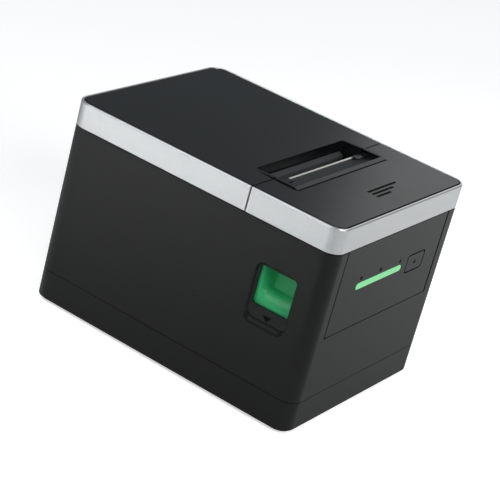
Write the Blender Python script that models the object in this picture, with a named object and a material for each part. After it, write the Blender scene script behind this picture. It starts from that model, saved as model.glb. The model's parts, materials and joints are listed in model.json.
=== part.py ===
"""Desktop receipt printer with a rear-hinged lid, drop-in paper bucket and clamshell print mechanism.

Metres, +Z up, front towards -Y. The origin is under the middle of the case, at the level of the feet.
"""

import math

import bmesh
import bpy
from mathutils import Vector

MM = 0.001
TAU = 2 * math.pi

# Outer size
WIDTH = 145.5 * MM
DEPTH = 190 * MM
HEIGHT = 130 * MM
WALL = 2.5 * MM
GAP = 0.3 * MM
FRONT_RADIUS = 9 * MM
REAR_RADIUS = 10.5 * MM
CORNER_STEPS = 5
X = WIDTH / 2
Y = DEPTH / 2

# Levels
PLATE_BOTTOM = 1.2 * MM
CASE_BOTTOM = 2.5 * MM
SEAM = 20.5 * MM
CASE_TOP = 114.2 * MM
BAND_BOTTOM = 114.7 * MM
BAND_WALL = 1.5 * MM
TOP_THICKNESS = 2.5 * MM
SPLIT_Y = -33.4 * MM
FLOOR_TOP = 5 * MM
SKIRT_BOTTOM = 115 * MM
SKIRT_WALL = 1.5 * MM

# Front panel, its light and its button
PANEL_HALF = 58.2 * MM
PANEL_BOTTOM = 59.8 * MM
LIGHT_X = (-37 * MM, 14.3 * MM)
LIGHT_Z = (85.1 * MM, 89.2 * MM)
BUTTON_X = (20.9 * MM, 41.8 * MM)
BUTTON_Z = (80.9 * MM, 93.1 * MM)

# Finger window for the release lever, in the left side
WINDOW_Y = (-76 * MM, -51.5 * MM)
WINDOW_Z = (66 * MM, 90 * MM)
RECESS_Y = (-78 * MM, -49 * MM)
RECESS_Z = (53.5 * MM, 92.5 * MM)
RECESS_DEPTH = 2 * MM
WINDOW_WALL_INNER = -69.2 * MM

# Paper exit in the top
EXIT_HALF = 47.5 * MM
EXIT_FRONT = -46.5 * MM
EXIT_REAR = -19 * MM
EXIT_FLOOR_END = -35.4 * MM
WELL_BOTTOM = 119 * MM
WELL_WALL = 1.5 * MM
LIP_WIDTH = 3.2 * MM
LIP_SIDE = 2.1 * MM
LIP_RISE = 0.8 * MM
TEAR_Y = (-35 * MM, -33.9 * MM)
TEAR_Z = (118 * MM, 128.5 * MM)
TEAR_HALF = 40.5 * MM
TEAR_SHOWN = 37.5 * MM

# Lid hinge
HINGE = Vector((0, 93 * MM, 112.2 * MM))
KNUCKLE_RADIUS = 2 * MM
PIN_RADIUS = 0.9 * MM
LID_KNUCKLE = (44.3 * MM, 51.7 * MM)
CASE_KNUCKLE = (36 * MM, 60 * MM)

# Platen, feed gears, head, lever and cutter
PLATEN = Vector((0, -24.2 * MM, 104 * MM))
PLATEN_RADIUS = 7 * MM
PLATEN_HALF = 41 * MM
SHAFT_RADIUS = 2.5 * MM
MODULE = 0.8 * MM
PLATEN_TEETH = 20
IDLER_TEETH = 30
PINION_TEETH = 12
GEAR_X = (49.2 * MM, 53.2 * MM)
IDLER = PLATEN - Vector((0, 0, MODULE * (PLATEN_TEETH + IDLER_TEETH) / 2))
PINION_DIRECTION = math.radians(235)
PINION_REACH = MODULE * (IDLER_TEETH + PINION_TEETH) / 2
PINION = IDLER + PINION_REACH * Vector((0, math.cos(PINION_DIRECTION), math.sin(PINION_DIRECTION)))
LEVER = Vector((0, -40 * MM, 76 * MM))
HEAD_PIVOT = Vector((0, -36.5 * MM, 91 * MM))
PLATE_X = (44.4 * MM, 45.6 * MM)
CUTTER_TEETH = 12
CUTTER = Vector((20 * MM, -52 * MM, 116.1 * MM))
BLADE_TRAVEL = 8 * MM
BLADE_Z = (115.6 * MM, 116.6 * MM)
BLADE_EDGE = -34.6 * MM
FIXED_BLADE_Z = (117.2 * MM, 118.2 * MM)
BUSH_RADIUS = 4 * MM
BUSH_X = (43.8 * MM, 48.6 * MM)
HOOK_X = (46.2 * MM, 47.8 * MM)
HEAD_HALF = 40.5 * MM
HEAD_PIN_RADIUS = 1.2 * MM
STUD_RADIUS = 2 * MM
MOTOR_SHAFT_RADIUS = 1.2 * MM
MOTOR_RADIUS = 12 * MM
CUTTER_MOTOR_RADIUS = 8 * MM
RUN = 0.35 * MM

# Paper bucket, for a roll 80 mm across
BUCKET_Y = 37 * MM
BUCKET_Z = 64 * MM
BUCKET_RADIUS = 42 * MM
BUCKET_WALL = 1.8 * MM
BUCKET_HALF = 41.5 * MM
DECK_Z = (104 * MM, 105.8 * MM)

# Boards and sockets
BAY_HALF = 58 * MM
BAY_Z = (8 * MM, 30.5 * MM)
REAR_PANEL_Y = (91 * MM, 92.2 * MM)
BOARD_Z = (9 * MM, 10.6 * MM)
BOARD_POST_X = 46 * MM
SOCKET_FRONT = 80.6 * MM
SOCKET_MOUTH = 92.4 * MM
SOCKET_DEPTH = 10 * MM
PANEL_CUT_Y = (90 * MM, 94 * MM)
SWITCH = Vector((44 * MM, 91.4 * MM, 18 * MM))

# Screws, feet and springs
SCREW_X = 64.5 * MM
SCREW_Y = 86 * MM
SCREW_HOLE = 1.7 * MM
SCREW_HEAD = 2.8 * MM
SCREW_HEAD_HOLE = 3.2 * MM
SCREW_THREAD = 1.35 * MM
BOSS_TOP = 40 * MM
FOOT_X = 50 * MM
FOOT_Y = 72 * MM
FOOT_RADIUS = 7 * MM
SPRING_WIRE = 0.8 * MM
LEVER_SPRING = Vector((-63 * MM, -64 * MM, 30 * MM))
LEVER_SPRING_RADIUS = 4 * MM
LEVER_SPRING_LENGTH = 31.4 * MM
HEAD_SPRING = Vector((0, -38.2 * MM, 104 * MM))
HEAD_SPRING_RADIUS = 2.6 * MM
HEAD_SPRING_LENGTH = 7 * MM

# Colour, roughness, metallic
LOOKS = {
    "case_plastic": ((0.026, 0.027, 0.029), 0.42, 0.0),
    "top_plastic": ((0.035, 0.037, 0.039), 0.36, 0.0),
    "silver_paint": ((0.62, 0.64, 0.65), 0.32, 0.55),
    "green_plastic": ((0.02, 0.36, 0.11), 0.38, 0.0),
    "light_green": ((0.28, 0.72, 0.32), 0.4, 0.0),
    "inner_plastic": ((0.06, 0.062, 0.065), 0.55, 0.0),
    "steel": ((0.62, 0.61, 0.59), 0.3, 1.0),
    "zinc_steel": ((0.48, 0.49, 0.5), 0.42, 1.0),
    "aluminium": ((0.66, 0.67, 0.68), 0.38, 1.0),
    "rubber": ((0.02, 0.02, 0.021), 0.75, 0.0),
    "nylon": ((0.72, 0.7, 0.64), 0.45, 0.0),
    "brass": ((0.72, 0.5, 0.2), 0.3, 1.0),
    "board_green": ((0.015, 0.14, 0.06), 0.45, 0.0),
    "ceramic": ((0.5, 0.36, 0.24), 0.3, 0.0),
    "socket_black": ((0.03, 0.03, 0.032), 0.5, 0.0),
}


def clear_scene():
    """Take away whatever the scene starts with."""
    for old in list(bpy.data.objects):
        bpy.data.objects.remove(old, do_unlink=True)


def look(name):
    """The named Principled material, made on first use."""
    found = bpy.data.materials.get(name)
    if found:
        return found
    colour, roughness, metallic = LOOKS[name]
    made = bpy.data.materials.new(name)
    made.use_nodes = True
    shader = made.node_tree.nodes["Principled BSDF"]
    shader.inputs["Base Color"].default_value = (*colour, 1)
    shader.inputs["Roughness"].default_value = roughness
    shader.inputs["Metallic"].default_value = metallic
    return made


# Outlines: lists of points in a plane, anticlockwise


def rectangle(u, v):
    return [(u[0], v[0]), (u[1], v[0]), (u[1], v[1]), (u[0], v[1])]


def arc(centre, radius, start, end, steps):
    """Points along an arc, angles in degrees, both ends included."""
    angles = [math.radians(start + (end - start) * i / steps) for i in range(steps + 1)]
    return [(centre[0] + radius * math.cos(a), centre[1] + radius * math.sin(a)) for a in angles]


def circle(centre, radius, sides=16):
    return arc(centre, radius, 0, 360, sides)[:-1]


def case_outline(inset, front=-Y, rear=Y):
    """The case's plan, drawn in by an inset, with round corners at the ends that it reaches."""
    side = X - inset
    points = []
    corners = (
        (-1, -1, 180, front == -Y, FRONT_RADIUS, front + inset),
        (1, -1, 270, front == -Y, FRONT_RADIUS, front + inset),
        (1, 1, 0, rear == Y, REAR_RADIUS, rear - inset),
        (-1, 1, 90, rear == Y, REAR_RADIUS, rear - inset),
    )
    for across, along, start, is_round, radius, end in corners:
        if is_round:
            inner = radius - inset
            centre = (across * (side - inner), end - along * inner)
            points += arc(centre, inner, start, start + 90, CORNER_STEPS)
        else:
            points.append((across * side, front if along < 0 else rear))
    return points


def band_outline(front, rear):
    """A U of band wall around one end of the case, open at the lid's split."""
    outer = case_outline(0, front, rear)
    inner = case_outline(BAND_WALL, front, rear)
    if front == -Y:
        return outer[:-2] + [outer[-2], inner[-2]] + inner[:-2][::-1] + [inner[-1], outer[-1]]
    return outer[1:] + [outer[0], inner[0]] + inner[1:][::-1]


def involute(angle):
    return math.tan(angle) - angle


def gear_outline(centre, teeth, turn):
    """Involute teeth, thinned for backlash, with a tooth's middle at the turn's angle."""
    pitch = MODULE * teeth / 2
    pressure = math.radians(20)
    base = pitch * math.cos(pressure)
    thinning = 0.09 * MM / pitch
    flank = []
    for radius in (pitch - 1.15 * MODULE, pitch, pitch + 0.9 * MODULE):
        slope = math.acos(min(1, base / radius))
        half = math.pi / (2 * teeth) - thinning + involute(pressure) - involute(slope)
        flank.append((radius, half))
    points = []
    for tooth in range(teeth):
        middle = turn + TAU * tooth / teeth
        for radius, half in flank:
            points.append((radius, middle - half))
        for radius, half in reversed(flank):
            points.append((radius, middle + half))
    return [(centre[0] + r * math.cos(a), centre[1] + r * math.sin(a)) for r, a in points]


def meshing_turn(turn, teeth, other_teeth, direction):
    """The turn of a second gear whose gap takes the first gear's tooth, along the line of centres."""
    past = (turn - direction) % (TAU / teeth)
    return direction + math.pi - past * teeth / other_teeth + math.pi / other_teeth


# Forms: closed prisms, which pieces are made from


def prism(axis, outline, ends):
    """An outline pushed along an axis. Its plane is YZ for X, XZ for Y and XY for Z."""
    return axis, outline, ends


def block(x, y, z):
    return prism("Z", rectangle(x, y), z)


def mirrored(form):
    """The same form on the other side of the case."""
    axis, outline, ends = form
    if axis == "X":
        return axis, outline, (-ends[1], -ends[0])
    return axis, [(-u, v) for u, v in reversed(outline)], ends


def rod(axis, centre, radius, ends, sides=16):
    """A round bar along an axis through a centre."""
    flat = {"X": (centre[1], centre[2]), "Y": (centre[0], centre[2]), "Z": (centre[0], centre[1])}[axis]
    return prism(axis, circle(flat, radius, sides), ends)


def form_mesh(name, form):
    """A mesh from one form, with its faces outwards."""
    axis, outline, ends = form
    place = {
        "X": lambda u, v, w: (w, u, v),
        "Y": lambda u, v, w: (u, w, v),
        "Z": lambda u, v, w: (u, v, w),
    }[axis]
    shape = bmesh.new()
    cap = shape.faces.new([shape.verts.new(place(u, v, ends[0])) for u, v in outline])
    grown = bmesh.ops.extrude_face_region(shape, geom=[cap])["geom"]
    shift = Vector(place(0, 0, ends[1] - ends[0]))
    bmesh.ops.translate(shape, vec=shift, verts=[v for v in grown if isinstance(v, bmesh.types.BMVert)])
    bmesh.ops.recalc_face_normals(shape, faces=shape.faces)
    mesh = bpy.data.meshes.new(name)
    shape.to_mesh(mesh)
    shape.free()
    return mesh


def combine(target, form, operation):
    """Join a form to a piece, or cut it away, and keep the result as the piece's mesh."""
    tool = bpy.data.objects.new("tool", form_mesh("tool", form))
    bpy.context.collection.objects.link(tool)
    step = target.modifiers.new("step", "BOOLEAN")
    step.operation = operation
    step.solver = "EXACT"
    step.object = tool
    result = target.evaluated_get(bpy.context.evaluated_depsgraph_get())
    mesh = bpy.data.meshes.new_from_object(result)
    target.modifiers.clear()
    target.data = mesh
    bpy.data.objects.remove(tool, do_unlink=True)


def settle(target, finish, joint):
    """Give a piece its material and shading, and hang it on its joint's empty."""
    mesh = target.data
    mesh.name = target.name
    mesh.materials.clear()
    mesh.materials.append(look(finish))
    mesh.shade_smooth()
    mesh.set_sharp_from_angle(angle=math.radians(32))
    if joint:
        for vertex in mesh.vertices:
            vertex.co -= joint.location
        target.parent = joint


def piece(name, finish, base, joined=(), removed=(), joint=None):
    """One closed body: a form, with others joined to it and then others cut from it."""
    target = bpy.data.objects.new(name, form_mesh(name, base))
    bpy.context.collection.objects.link(target)
    for form in joined:
        combine(target, form, "UNION")
    for form in removed:
        combine(target, form, "DIFFERENCE")
    settle(target, finish, joint)
    return target


def axis_empty(name, place):
    """An empty on a joint's axis, which the moving pieces hang on."""
    empty = bpy.data.objects.new(name, None)
    empty.location = place
    empty.empty_display_size = 10 * MM
    bpy.context.collection.objects.link(empty)
    return empty


def coil(name, place, axis, radius, length, turns):
    """A compression spring: a round wire along a helix."""
    wire = SPRING_WIRE
    per_turn = 8
    curve = bpy.data.curves.new(name, "CURVE")
    curve.dimensions = "3D"
    curve.resolution_u = 1
    curve.bevel_depth = wire / 2
    curve.bevel_resolution = 1
    curve.use_fill_caps = True
    line = curve.splines.new("POLY")
    count = turns * per_turn + 1
    line.points.add(count - 1)
    rise = length - wire
    for i in range(count):
        angle = TAU * i / per_turn
        along = wire / 2 + rise * i / (count - 1)
        across = (radius * math.cos(angle), radius * math.sin(angle))
        if axis == "Y":
            spot = Vector((across[0], -along, across[1]))
        else:
            spot = Vector((across[0], across[1], along))
        line.points[i].co = (*(place + spot), 1)
    target = bpy.data.objects.new(name, curve)
    target.data.materials.append(look("steel"))
    bpy.context.collection.objects.link(target)


# Casing


def corner_blocks(z):
    """Screw bosses that fill the inner corners, each with its outer corner cut off."""
    inner_x, outer_x = SCREW_X - 4.5 * MM, X - WALL / 2
    inner_y, outer_y = SCREW_Y - 6 * MM, Y - 1.3 * WALL
    rear = [
        (inner_x, inner_y), (outer_x, inner_y), (outer_x, SCREW_Y),
        (SCREW_X + 1.5 * MM, outer_y), (inner_x, outer_y),
    ]
    front = [(x, -y) for x, y in reversed(rear)]
    right = [prism("Z", rear, z), prism("Z", front, z)]
    return right + [mirrored(form) for form in right]


def corner_holes(radius, z):
    return [
        rod("Z", (x, y, 0), radius, z, 12)
        for x in (-SCREW_X, SCREW_X)
        for y in (-SCREW_Y, SCREW_Y)
    ]


def make_main_case():
    """The four walls, with the panel opening, the lever window, the socket bay and hinge knuckles."""
    outer = prism("Z", case_outline(0), (SEAM + GAP / 2, CASE_TOP))
    inner = prism("Z", case_outline(WALL), (0, HEIGHT))
    shell = piece("main_case", "case_plastic", outer, removed=[inner])
    margin = 3 * MM
    backing = block(
        (-X + WALL / 2, WINDOW_WALL_INNER),
        (RECESS_Y[0] - margin, RECESS_Y[1] + margin),
        (RECESS_Z[0] - margin, RECESS_Z[1] + margin),
    )
    for form in [backing] + corner_blocks((SEAM + GAP / 2, BOSS_TOP)):
        combine(shell, form, "UNION")
    left, right = CASE_KNUCKLE
    for side in (1, -1):
        ends = (left, right) if side > 0 else (-right, -left)
        combine(shell, rod("X", HINGE, KNUCKLE_RADIUS, ends, 12), "UNION")
    lid_notch = block(
        (LID_KNUCKLE[0] - GAP, LID_KNUCKLE[1] + GAP),
        (Y - WALL - 3 * MM, Y + 1 * MM),
        (HINGE.z - 2.6 * MM, HEIGHT),
    )
    behind = (HINGE.y - 0.2 * MM, Y + 1 * MM)
    above = (HINGE.z + 1.2 * MM, HEIGHT)
    between = block((-CASE_KNUCKLE[0], CASE_KNUCKLE[0]), behind, above)
    outside = block((CASE_KNUCKLE[1], X), behind, above)
    edge = block((-X, X), (HINGE.y + 1.2 * MM, Y + 1 * MM), (HINGE.z + 1 * MM, HEIGHT))
    pin_hole = rod("X", HINGE, PIN_RADIUS + RUN, (CASE_KNUCKLE[0] - 1 * MM, CASE_KNUCKLE[1] + 1 * MM), 12)
    cuts = [
        block((-PANEL_HALF - GAP, PANEL_HALF + GAP), (-Y - 1 * MM, -Y + 2 * WALL), (PANEL_BOTTOM, HEIGHT)),
        block((-X - 1 * MM, -X + RECESS_DEPTH), RECESS_Y, RECESS_Z),
        block((-X - 1 * MM, WINDOW_WALL_INNER + 1 * MM), WINDOW_Y, WINDOW_Z),
        block((-BAY_HALF, BAY_HALF), (Y - 2 * WALL, Y + 1 * MM), (0, BAY_Z[1])),
        lid_notch,
        mirrored(lid_notch),
        between,
        outside,
        mirrored(outside),
        edge,
        pin_hole,
        mirrored(pin_hole),
    ]
    for form in cuts + corner_holes(SCREW_HOLE, (0, BOSS_TOP - 5 * MM)):
        combine(shell, form, "DIFFERENCE")
    settle(shell, "case_plastic", None)


def make_base():
    """The tray under the case, its cover plate, four feet and the four screws."""
    outer = prism("Z", case_outline(0), (CASE_BOTTOM, SEAM - GAP / 2))
    hollow = prism("Z", case_outline(WALL), (FLOOR_TOP, HEIGHT))
    tray = piece("base_tray", "case_plastic", outer, removed=[hollow])
    rooted = 4 * MM
    posts = [
        rod("Z", (x, y, 0), 2.6 * MM, (rooted, BOARD_Z[0] - GAP), 10)
        for x in (-BOARD_POST_X, BOARD_POST_X)
        for y in (0, 66 * MM)
    ]
    spring_post = rod("Z", LEVER_SPRING, LEVER_SPRING_RADIUS + 1 * MM, (rooted, LEVER_SPRING.z - GAP), 12)
    for form in corner_blocks((rooted, SEAM - GAP / 2)) + posts + [spring_post]:
        combine(tray, form, "UNION")
    bay = block((-BAY_HALF, BAY_HALF), (Y - 2 * WALL, Y + 1 * MM), (BAY_Z[0], HEIGHT))
    heads = corner_holes(SCREW_HEAD_HOLE, (0, FLOOR_TOP))
    for form in [bay] + corner_holes(SCREW_HOLE, (0, HEIGHT)) + heads:
        combine(tray, form, "DIFFERENCE")
    settle(tray, "case_plastic", None)

    plate = prism("Z", case_outline(1.5 * MM), (PLATE_BOTTOM, CASE_BOTTOM - GAP))
    plate_holes = corner_holes(SCREW_HEAD_HOLE + 0.4 * MM, (0, 3 * MM))
    piece("bottom_cover", "inner_plastic", plate, removed=plate_holes)

    for across, side in ((-1, "left"), (1, "right")):
        for along, end in ((-1, "front"), (1, "rear")):
            spot = Vector((across * FOOT_X, along * FOOT_Y, 0))
            piece(f"foot_{end}_{side}", "rubber", rod("Z", spot, FOOT_RADIUS, (0, PLATE_BOTTOM - GAP), 20))
            screw = Vector((across * SCREW_X, along * SCREW_Y, 0))
            head = rod("Z", screw, SCREW_HEAD, (2.9 * MM, 4.7 * MM), 12)
            thread = rod("Z", screw, SCREW_THREAD, (4 * MM, 33 * MM), 8)
            piece(f"case_screw_{end}_{side}", "zinc_steel", head, joined=[thread])


def make_bands():
    """The two silver bands, which meet at the lid's split."""
    z = (BAND_BOTTOM, HEIGHT)
    piece("front_band", "silver_paint", prism("Z", band_outline(-Y, SPLIT_Y - GAP / 2), z))
    piece("lid_band", "silver_paint", prism("Z", band_outline(SPLIT_Y + GAP / 2, Y), z), joint=LID)


def make_front_cover():
    """The black top in front of the split, with the exit's ramp, cheeks and raised lip."""
    rear = SPLIT_Y - GAP / 2
    inset = BAND_WALL + GAP
    top = HEIGHT - TOP_THICKNESS
    plan = case_outline(inset, -Y, rear)
    cover = piece("front_cover", "top_plastic", prism("Z", plan, (top, HEIGHT)))
    skirt_z = (SKIRT_BOTTOM, top + 1 * MM)
    skirt_side = block((X - inset - SKIRT_WALL, X - inset), (-Y + FRONT_RADIUS, rear), skirt_z)
    skirt_front = block((-55 * MM, 55 * MM), (-Y + inset, -Y + inset + SKIRT_WALL), skirt_z)
    ramp = prism(
        "X",
        [
            (EXIT_FRONT - 1 * MM, 126.2 * MM),
            (EXIT_FLOOR_END, 125.8 * MM),
            (EXIT_FLOOR_END, 128.3 * MM),
            (EXIT_FRONT, HEIGHT),
            (EXIT_FRONT - 1 * MM, HEIGHT),
        ],
        (-EXIT_HALF - 1 * MM, EXIT_HALF + 1 * MM),
    )
    cheek = block((TEAR_SHOWN, EXIT_HALF + 1 * MM), (EXIT_FLOOR_END - 2 * MM, rear), (128.8 * MM, 129.6 * MM))
    lip_out = EXIT_HALF + LIP_SIDE
    lip_top = HEIGHT + LIP_RISE
    lip_low = HEIGHT - 1 * MM
    lip_front = block((-lip_out, lip_out), (EXIT_FRONT - LIP_WIDTH, EXIT_FRONT), (lip_low, lip_top))
    lip_side = prism(
        "X",
        [
            (EXIT_FRONT - 1 * MM, lip_low),
            (rear, lip_low),
            (rear, HEIGHT + 0.1 * MM),
            (EXIT_FRONT - 1 * MM, lip_top),
        ],
        (EXIT_HALF, lip_out),
    )
    opening = block((-EXIT_HALF, EXIT_HALF), (EXIT_FRONT, 0), (top - 1 * MM, HEIGHT + 3 * MM))
    combine(cover, opening, "DIFFERENCE")
    for form in (skirt_side, mirrored(skirt_side), skirt_front, ramp, cheek, mirrored(cheek)):
        combine(cover, form, "UNION")
    for form in (lip_front, lip_side, mirrored(lip_side)):
        combine(cover, form, "UNION")
    settle(cover, "top_plastic", None)
    piece("tear_bar", "steel", block((-TEAR_HALF, TEAR_HALF), TEAR_Y, TEAR_Z))


def make_lid():
    """The lid's black top, its inner frame with platen arms and knuckles, the paper guide and blade."""
    front = SPLIT_Y + GAP / 2
    inset = BAND_WALL + GAP
    under = HEIGHT - TOP_THICKNESS
    plan = case_outline(inset, front, Y)
    skirt = block((X - inset - SKIRT_WALL, X - inset), (front, Y - 13 * MM), (SKIRT_BOTTOM, under + 1 * MM))
    wall = WELL_WALL
    well = (WELL_BOTTOM, under + 1 * MM)
    well_side = block((EXIT_HALF, EXIT_HALF + wall), (front, EXIT_REAR + wall), well)
    well_rear = block((-EXIT_HALF - wall, EXIT_HALF + wall), (EXIT_REAR, EXIT_REAR + wall), well)
    opening = block((-EXIT_HALF, EXIT_HALF), (front - 1 * MM, EXIT_REAR), (100 * MM, HEIGHT + 1 * MM))
    piece(
        "lid_panel",
        "top_plastic",
        prism("Z", plan, (under, HEIGHT)),
        joined=[skirt, mirrored(skirt), well_side, mirrored(well_side), well_rear],
        removed=[opening],
        joint=LID,
    )

    guide_front = -22.8 * MM
    guide_low = FIXED_BLADE_Z[1] + GAP
    guide = [
        (guide_front, guide_low),
        (EXIT_REAR - GAP, guide_low),
        (EXIT_REAR - GAP, 123.3 * MM),
        (guide_front, 121.3 * MM),
    ]
    inside = EXIT_HALF - GAP
    arm_x = (41.7 * MM, 43.4 * MM)
    piece("paper_guide", "inner_plastic", prism("X", guide, (-inside, inside)), joint=LID)
    piece(
        "fixed_blade",
        "steel",
        block((-arm_x[1], arm_x[1]), (-30.9 * MM, -12 * MM), FIXED_BLADE_Z),
        joint=LID,
    )

    plate_z = (125.2 * MM, under - GAP)
    plate = block((-66 * MM, 66 * MM), (EXIT_REAR + wall + GAP, 89 * MM), plate_z)
    arm = prism(
        "X",
        [
            (-29.5 * MM, 98.5 * MM),
            (-18.5 * MM, 98.5 * MM),
            (-9.5 * MM, 106.5 * MM),
            (4 * MM, 118 * MM),
            (4 * MM, 126 * MM),
            (-11.6 * MM, 126 * MM),
            (-11.6 * MM, 116.9 * MM),
            (-29.5 * MM, 116.9 * MM),
        ],
        arm_x,
    )
    knuckle = rod("X", HINGE, KNUCKLE_RADIUS, LID_KNUCKLE, 12)
    web = block(LID_KNUCKLE, (HINGE.y - KNUCKLE_RADIUS + 0.1 * MM, HINGE.y + 0.2 * MM), (HINGE.z, plate_z[1]))
    shelf = block(LID_KNUCKLE, (86 * MM, HINGE.y + 0.2 * MM), plate_z)
    rib = block((20 * MM, 22 * MM), (-10 * MM, 86 * MM), (121 * MM, 126 * MM))
    shaft_hole = rod("X", PLATEN, SHAFT_RADIUS + RUN, (-50 * MM, 50 * MM))
    pin_hole = rod("X", HINGE, PIN_RADIUS + RUN, (40 * MM, 56 * MM), 12)
    right = [arm, shelf, web, knuckle, rib]
    piece(
        "lid_frame",
        "inner_plastic",
        plate,
        joined=right + [mirrored(form) for form in right],
        removed=[shaft_hole, pin_hole, mirrored(pin_hole)],
        joint=LID,
    )

    for side in (1, -1):
        word = "right" if side > 0 else "left"
        bush = rod("X", PLATEN, BUSH_RADIUS, BUSH_X, 16)
        bore = rod("X", PLATEN, SHAFT_RADIUS + RUN, (43 * MM, 49 * MM), 16)
        pin = rod("X", HINGE, PIN_RADIUS, (CASE_KNUCKLE[0] + 0.5 * MM, CASE_KNUCKLE[1] - 0.5 * MM), 8)
        if side < 0:
            bush, bore, pin = mirrored(bush), mirrored(bore), mirrored(pin)
        piece(f"platen_bush_{word}", "nylon", bush, removed=[bore], joint=LID)
        piece(f"hinge_pin_{word}", "steel", pin)


# Paper drive


def make_feed_train():
    """Platen roller, shaft and gear on the lid; idler, pinion and motor in the case."""
    half = PLATEN_HALF
    bore = rod("X", PLATEN, SHAFT_RADIUS + RUN, (-half - 1 * MM, half + 1 * MM))
    roller = rod("X", PLATEN, PLATEN_RADIUS, (-half, half), 28)
    piece("platen_roller", "rubber", roller, removed=[bore], joint=PLATEN_TURN)
    shaft = rod("X", PLATEN, SHAFT_RADIUS, (-49.2 * MM, 54.5 * MM), 16)
    piece("platen_shaft", "steel", shaft, joint=PLATEN_TURN)

    down = -math.pi / 2
    platen_turn = down
    idler_turn = meshing_turn(platen_turn, PLATEN_TEETH, IDLER_TEETH, down)
    pinion_turn = meshing_turn(idler_turn, IDLER_TEETH, PINION_TEETH, PINION_DIRECTION)

    def gear(name, finish, centre, teeth, turn, hole, joint):
        outline = gear_outline((centre.y, centre.z), teeth, turn)
        bore = rod("X", centre, hole, (GEAR_X[0] - 1 * MM, GEAR_X[1] + 1 * MM), 16)
        return piece(name, finish, prism("X", outline, GEAR_X), removed=[bore], joint=joint)

    gear("platen_gear", "nylon", PLATEN, PLATEN_TEETH, platen_turn, SHAFT_RADIUS + RUN, PLATEN_TURN)
    gear("idler_gear", "nylon", IDLER, IDLER_TEETH, idler_turn, STUD_RADIUS + RUN, IDLER_TURN)
    teeth = gear_outline((PINION.y, PINION.z), PINION_TEETH, pinion_turn)
    shaft = rod("X", PINION, MOTOR_SHAFT_RADIUS, (48.6 * MM, 58 * MM), 12)
    piece("feed_pinion", "brass", prism("X", teeth, GEAR_X), joined=[shaft], joint=PINION_TURN)
    piece("idler_stud", "steel", rod("X", IDLER, STUD_RADIUS, (PLATE_X[1] + GAP, 54.4 * MM)))

    flange_x = (54.6 * MM, 55.8 * MM)
    ears = ((-52 * MM, 62 * MM), (-18 * MM, 58 * MM))
    flange = [
        (-55 * MM, 60 * MM), (-50 * MM, 57 * MM), (-20 * MM, 54 * MM), (-14.5 * MM, 57 * MM),
        (-15 * MM, 62 * MM), (-27 * MM, 82 * MM), (-41 * MM, 82 * MM), (-54 * MM, 66 * MM),
    ]
    posts = [rod("X", (0, y, z), 2 * MM, (PLATE_X[1] + GAP, flange_x[1] - 0.4 * MM), 10) for y, z in ears]
    body = rod("X", PINION, MOTOR_RADIUS, (flange_x[0] + 0.6 * MM, 68.5 * MM), 24)
    nose = rod("X", PINION, MOTOR_SHAFT_RADIUS + RUN, (flange_x[0] - 1 * MM, 59 * MM), 12)
    plate = prism("X", flange, flange_x)
    piece("feed_motor", "zinc_steel", plate, joined=[body] + posts, removed=[nose])


def make_mechanism():
    """The two side plates, the cross plate, and the sprung head against the platen."""
    for side in (1, -1):
        word = "right" if side > 0 else "left"
        outline = [
            (-66 * MM, 5.3 * MM), (-9 * MM, 5.3 * MM), (-9 * MM, 96 * MM), (-14 * MM, 106 * MM),
            (-37 * MM, 106 * MM), (-37 * MM, 112 * MM), (-66 * MM, 112 * MM),
        ]
        slot = [(-28.4 * MM, 104 * MM)]
        slot += arc((PLATEN.y, PLATEN.z), 4.2 * MM, 180, 360, 8)[1:-1]
        slot += [(-20 * MM, 104 * MM), (-18.5 * MM, 107 * MM), (-29.9 * MM, 107 * MM)]
        ends = (PLATE_X[0] - 1 * MM, PLATE_X[1] + 1 * MM)
        window = rectangle((-56 * MM, -20 * MM), (18 * MM, 52 * MM))
        cuts = [
            prism("X", slot, ends),
            prism("X", window, ends),
            rod("X", LEVER, SHAFT_RADIUS + RUN, ends),
            rod("X", HEAD_PIVOT, HEAD_PIN_RADIUS + RUN, ends, 12),
        ]
        plate = prism("X", outline, PLATE_X)
        if side < 0:
            plate = mirrored(plate)
            cuts = [mirrored(form) for form in cuts]
        piece(f"mechanism_plate_{word}", "zinc_steel", plate, removed=cuts)
    inside = PLATE_X[0] - GAP
    piece(
        "mechanism_crossplate",
        "zinc_steel",
        block((-inside, inside), (-46.8 * MM, -45.6 * MM), (58 * MM, 112 * MM)),
        removed=[block((-20 * MM, 20 * MM), (-50 * MM, -40 * MM), (70 * MM, 92 * MM))],
    )

    half = HEAD_HALF
    heat_sink = [
        (-38.4 * MM, 88.8 * MM), (-34.4 * MM, 88.8 * MM), (-32.7 * MM, 94 * MM),
        (-32.7 * MM, 110.5 * MM), (-37 * MM, 110.5 * MM), (-38.4 * MM, 96 * MM),
    ]
    bore = rod("X", HEAD_PIVOT, HEAD_PIN_RADIUS + RUN, (-50 * MM, 50 * MM), 12)
    sink = prism("X", heat_sink, (-half, half))
    piece("head_heat_sink", "aluminium", sink, removed=[bore], joint=HEAD_TURN)
    strip = block((-half, half), (-32.4 * MM, -31.6 * MM), (96 * MM, 110 * MM))
    piece("heater_strip", "ceramic", strip, joint=HEAD_TURN)
    pin_half = PLATE_X[1] + 0.2 * MM
    piece("head_pivot_pin", "steel", rod("X", HEAD_PIVOT, HEAD_PIN_RADIUS, (-pin_half, pin_half), 12))
    coil("head_spring", HEAD_SPRING, "Y", HEAD_SPRING_RADIUS, HEAD_SPRING_LENGTH, 5)


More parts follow.
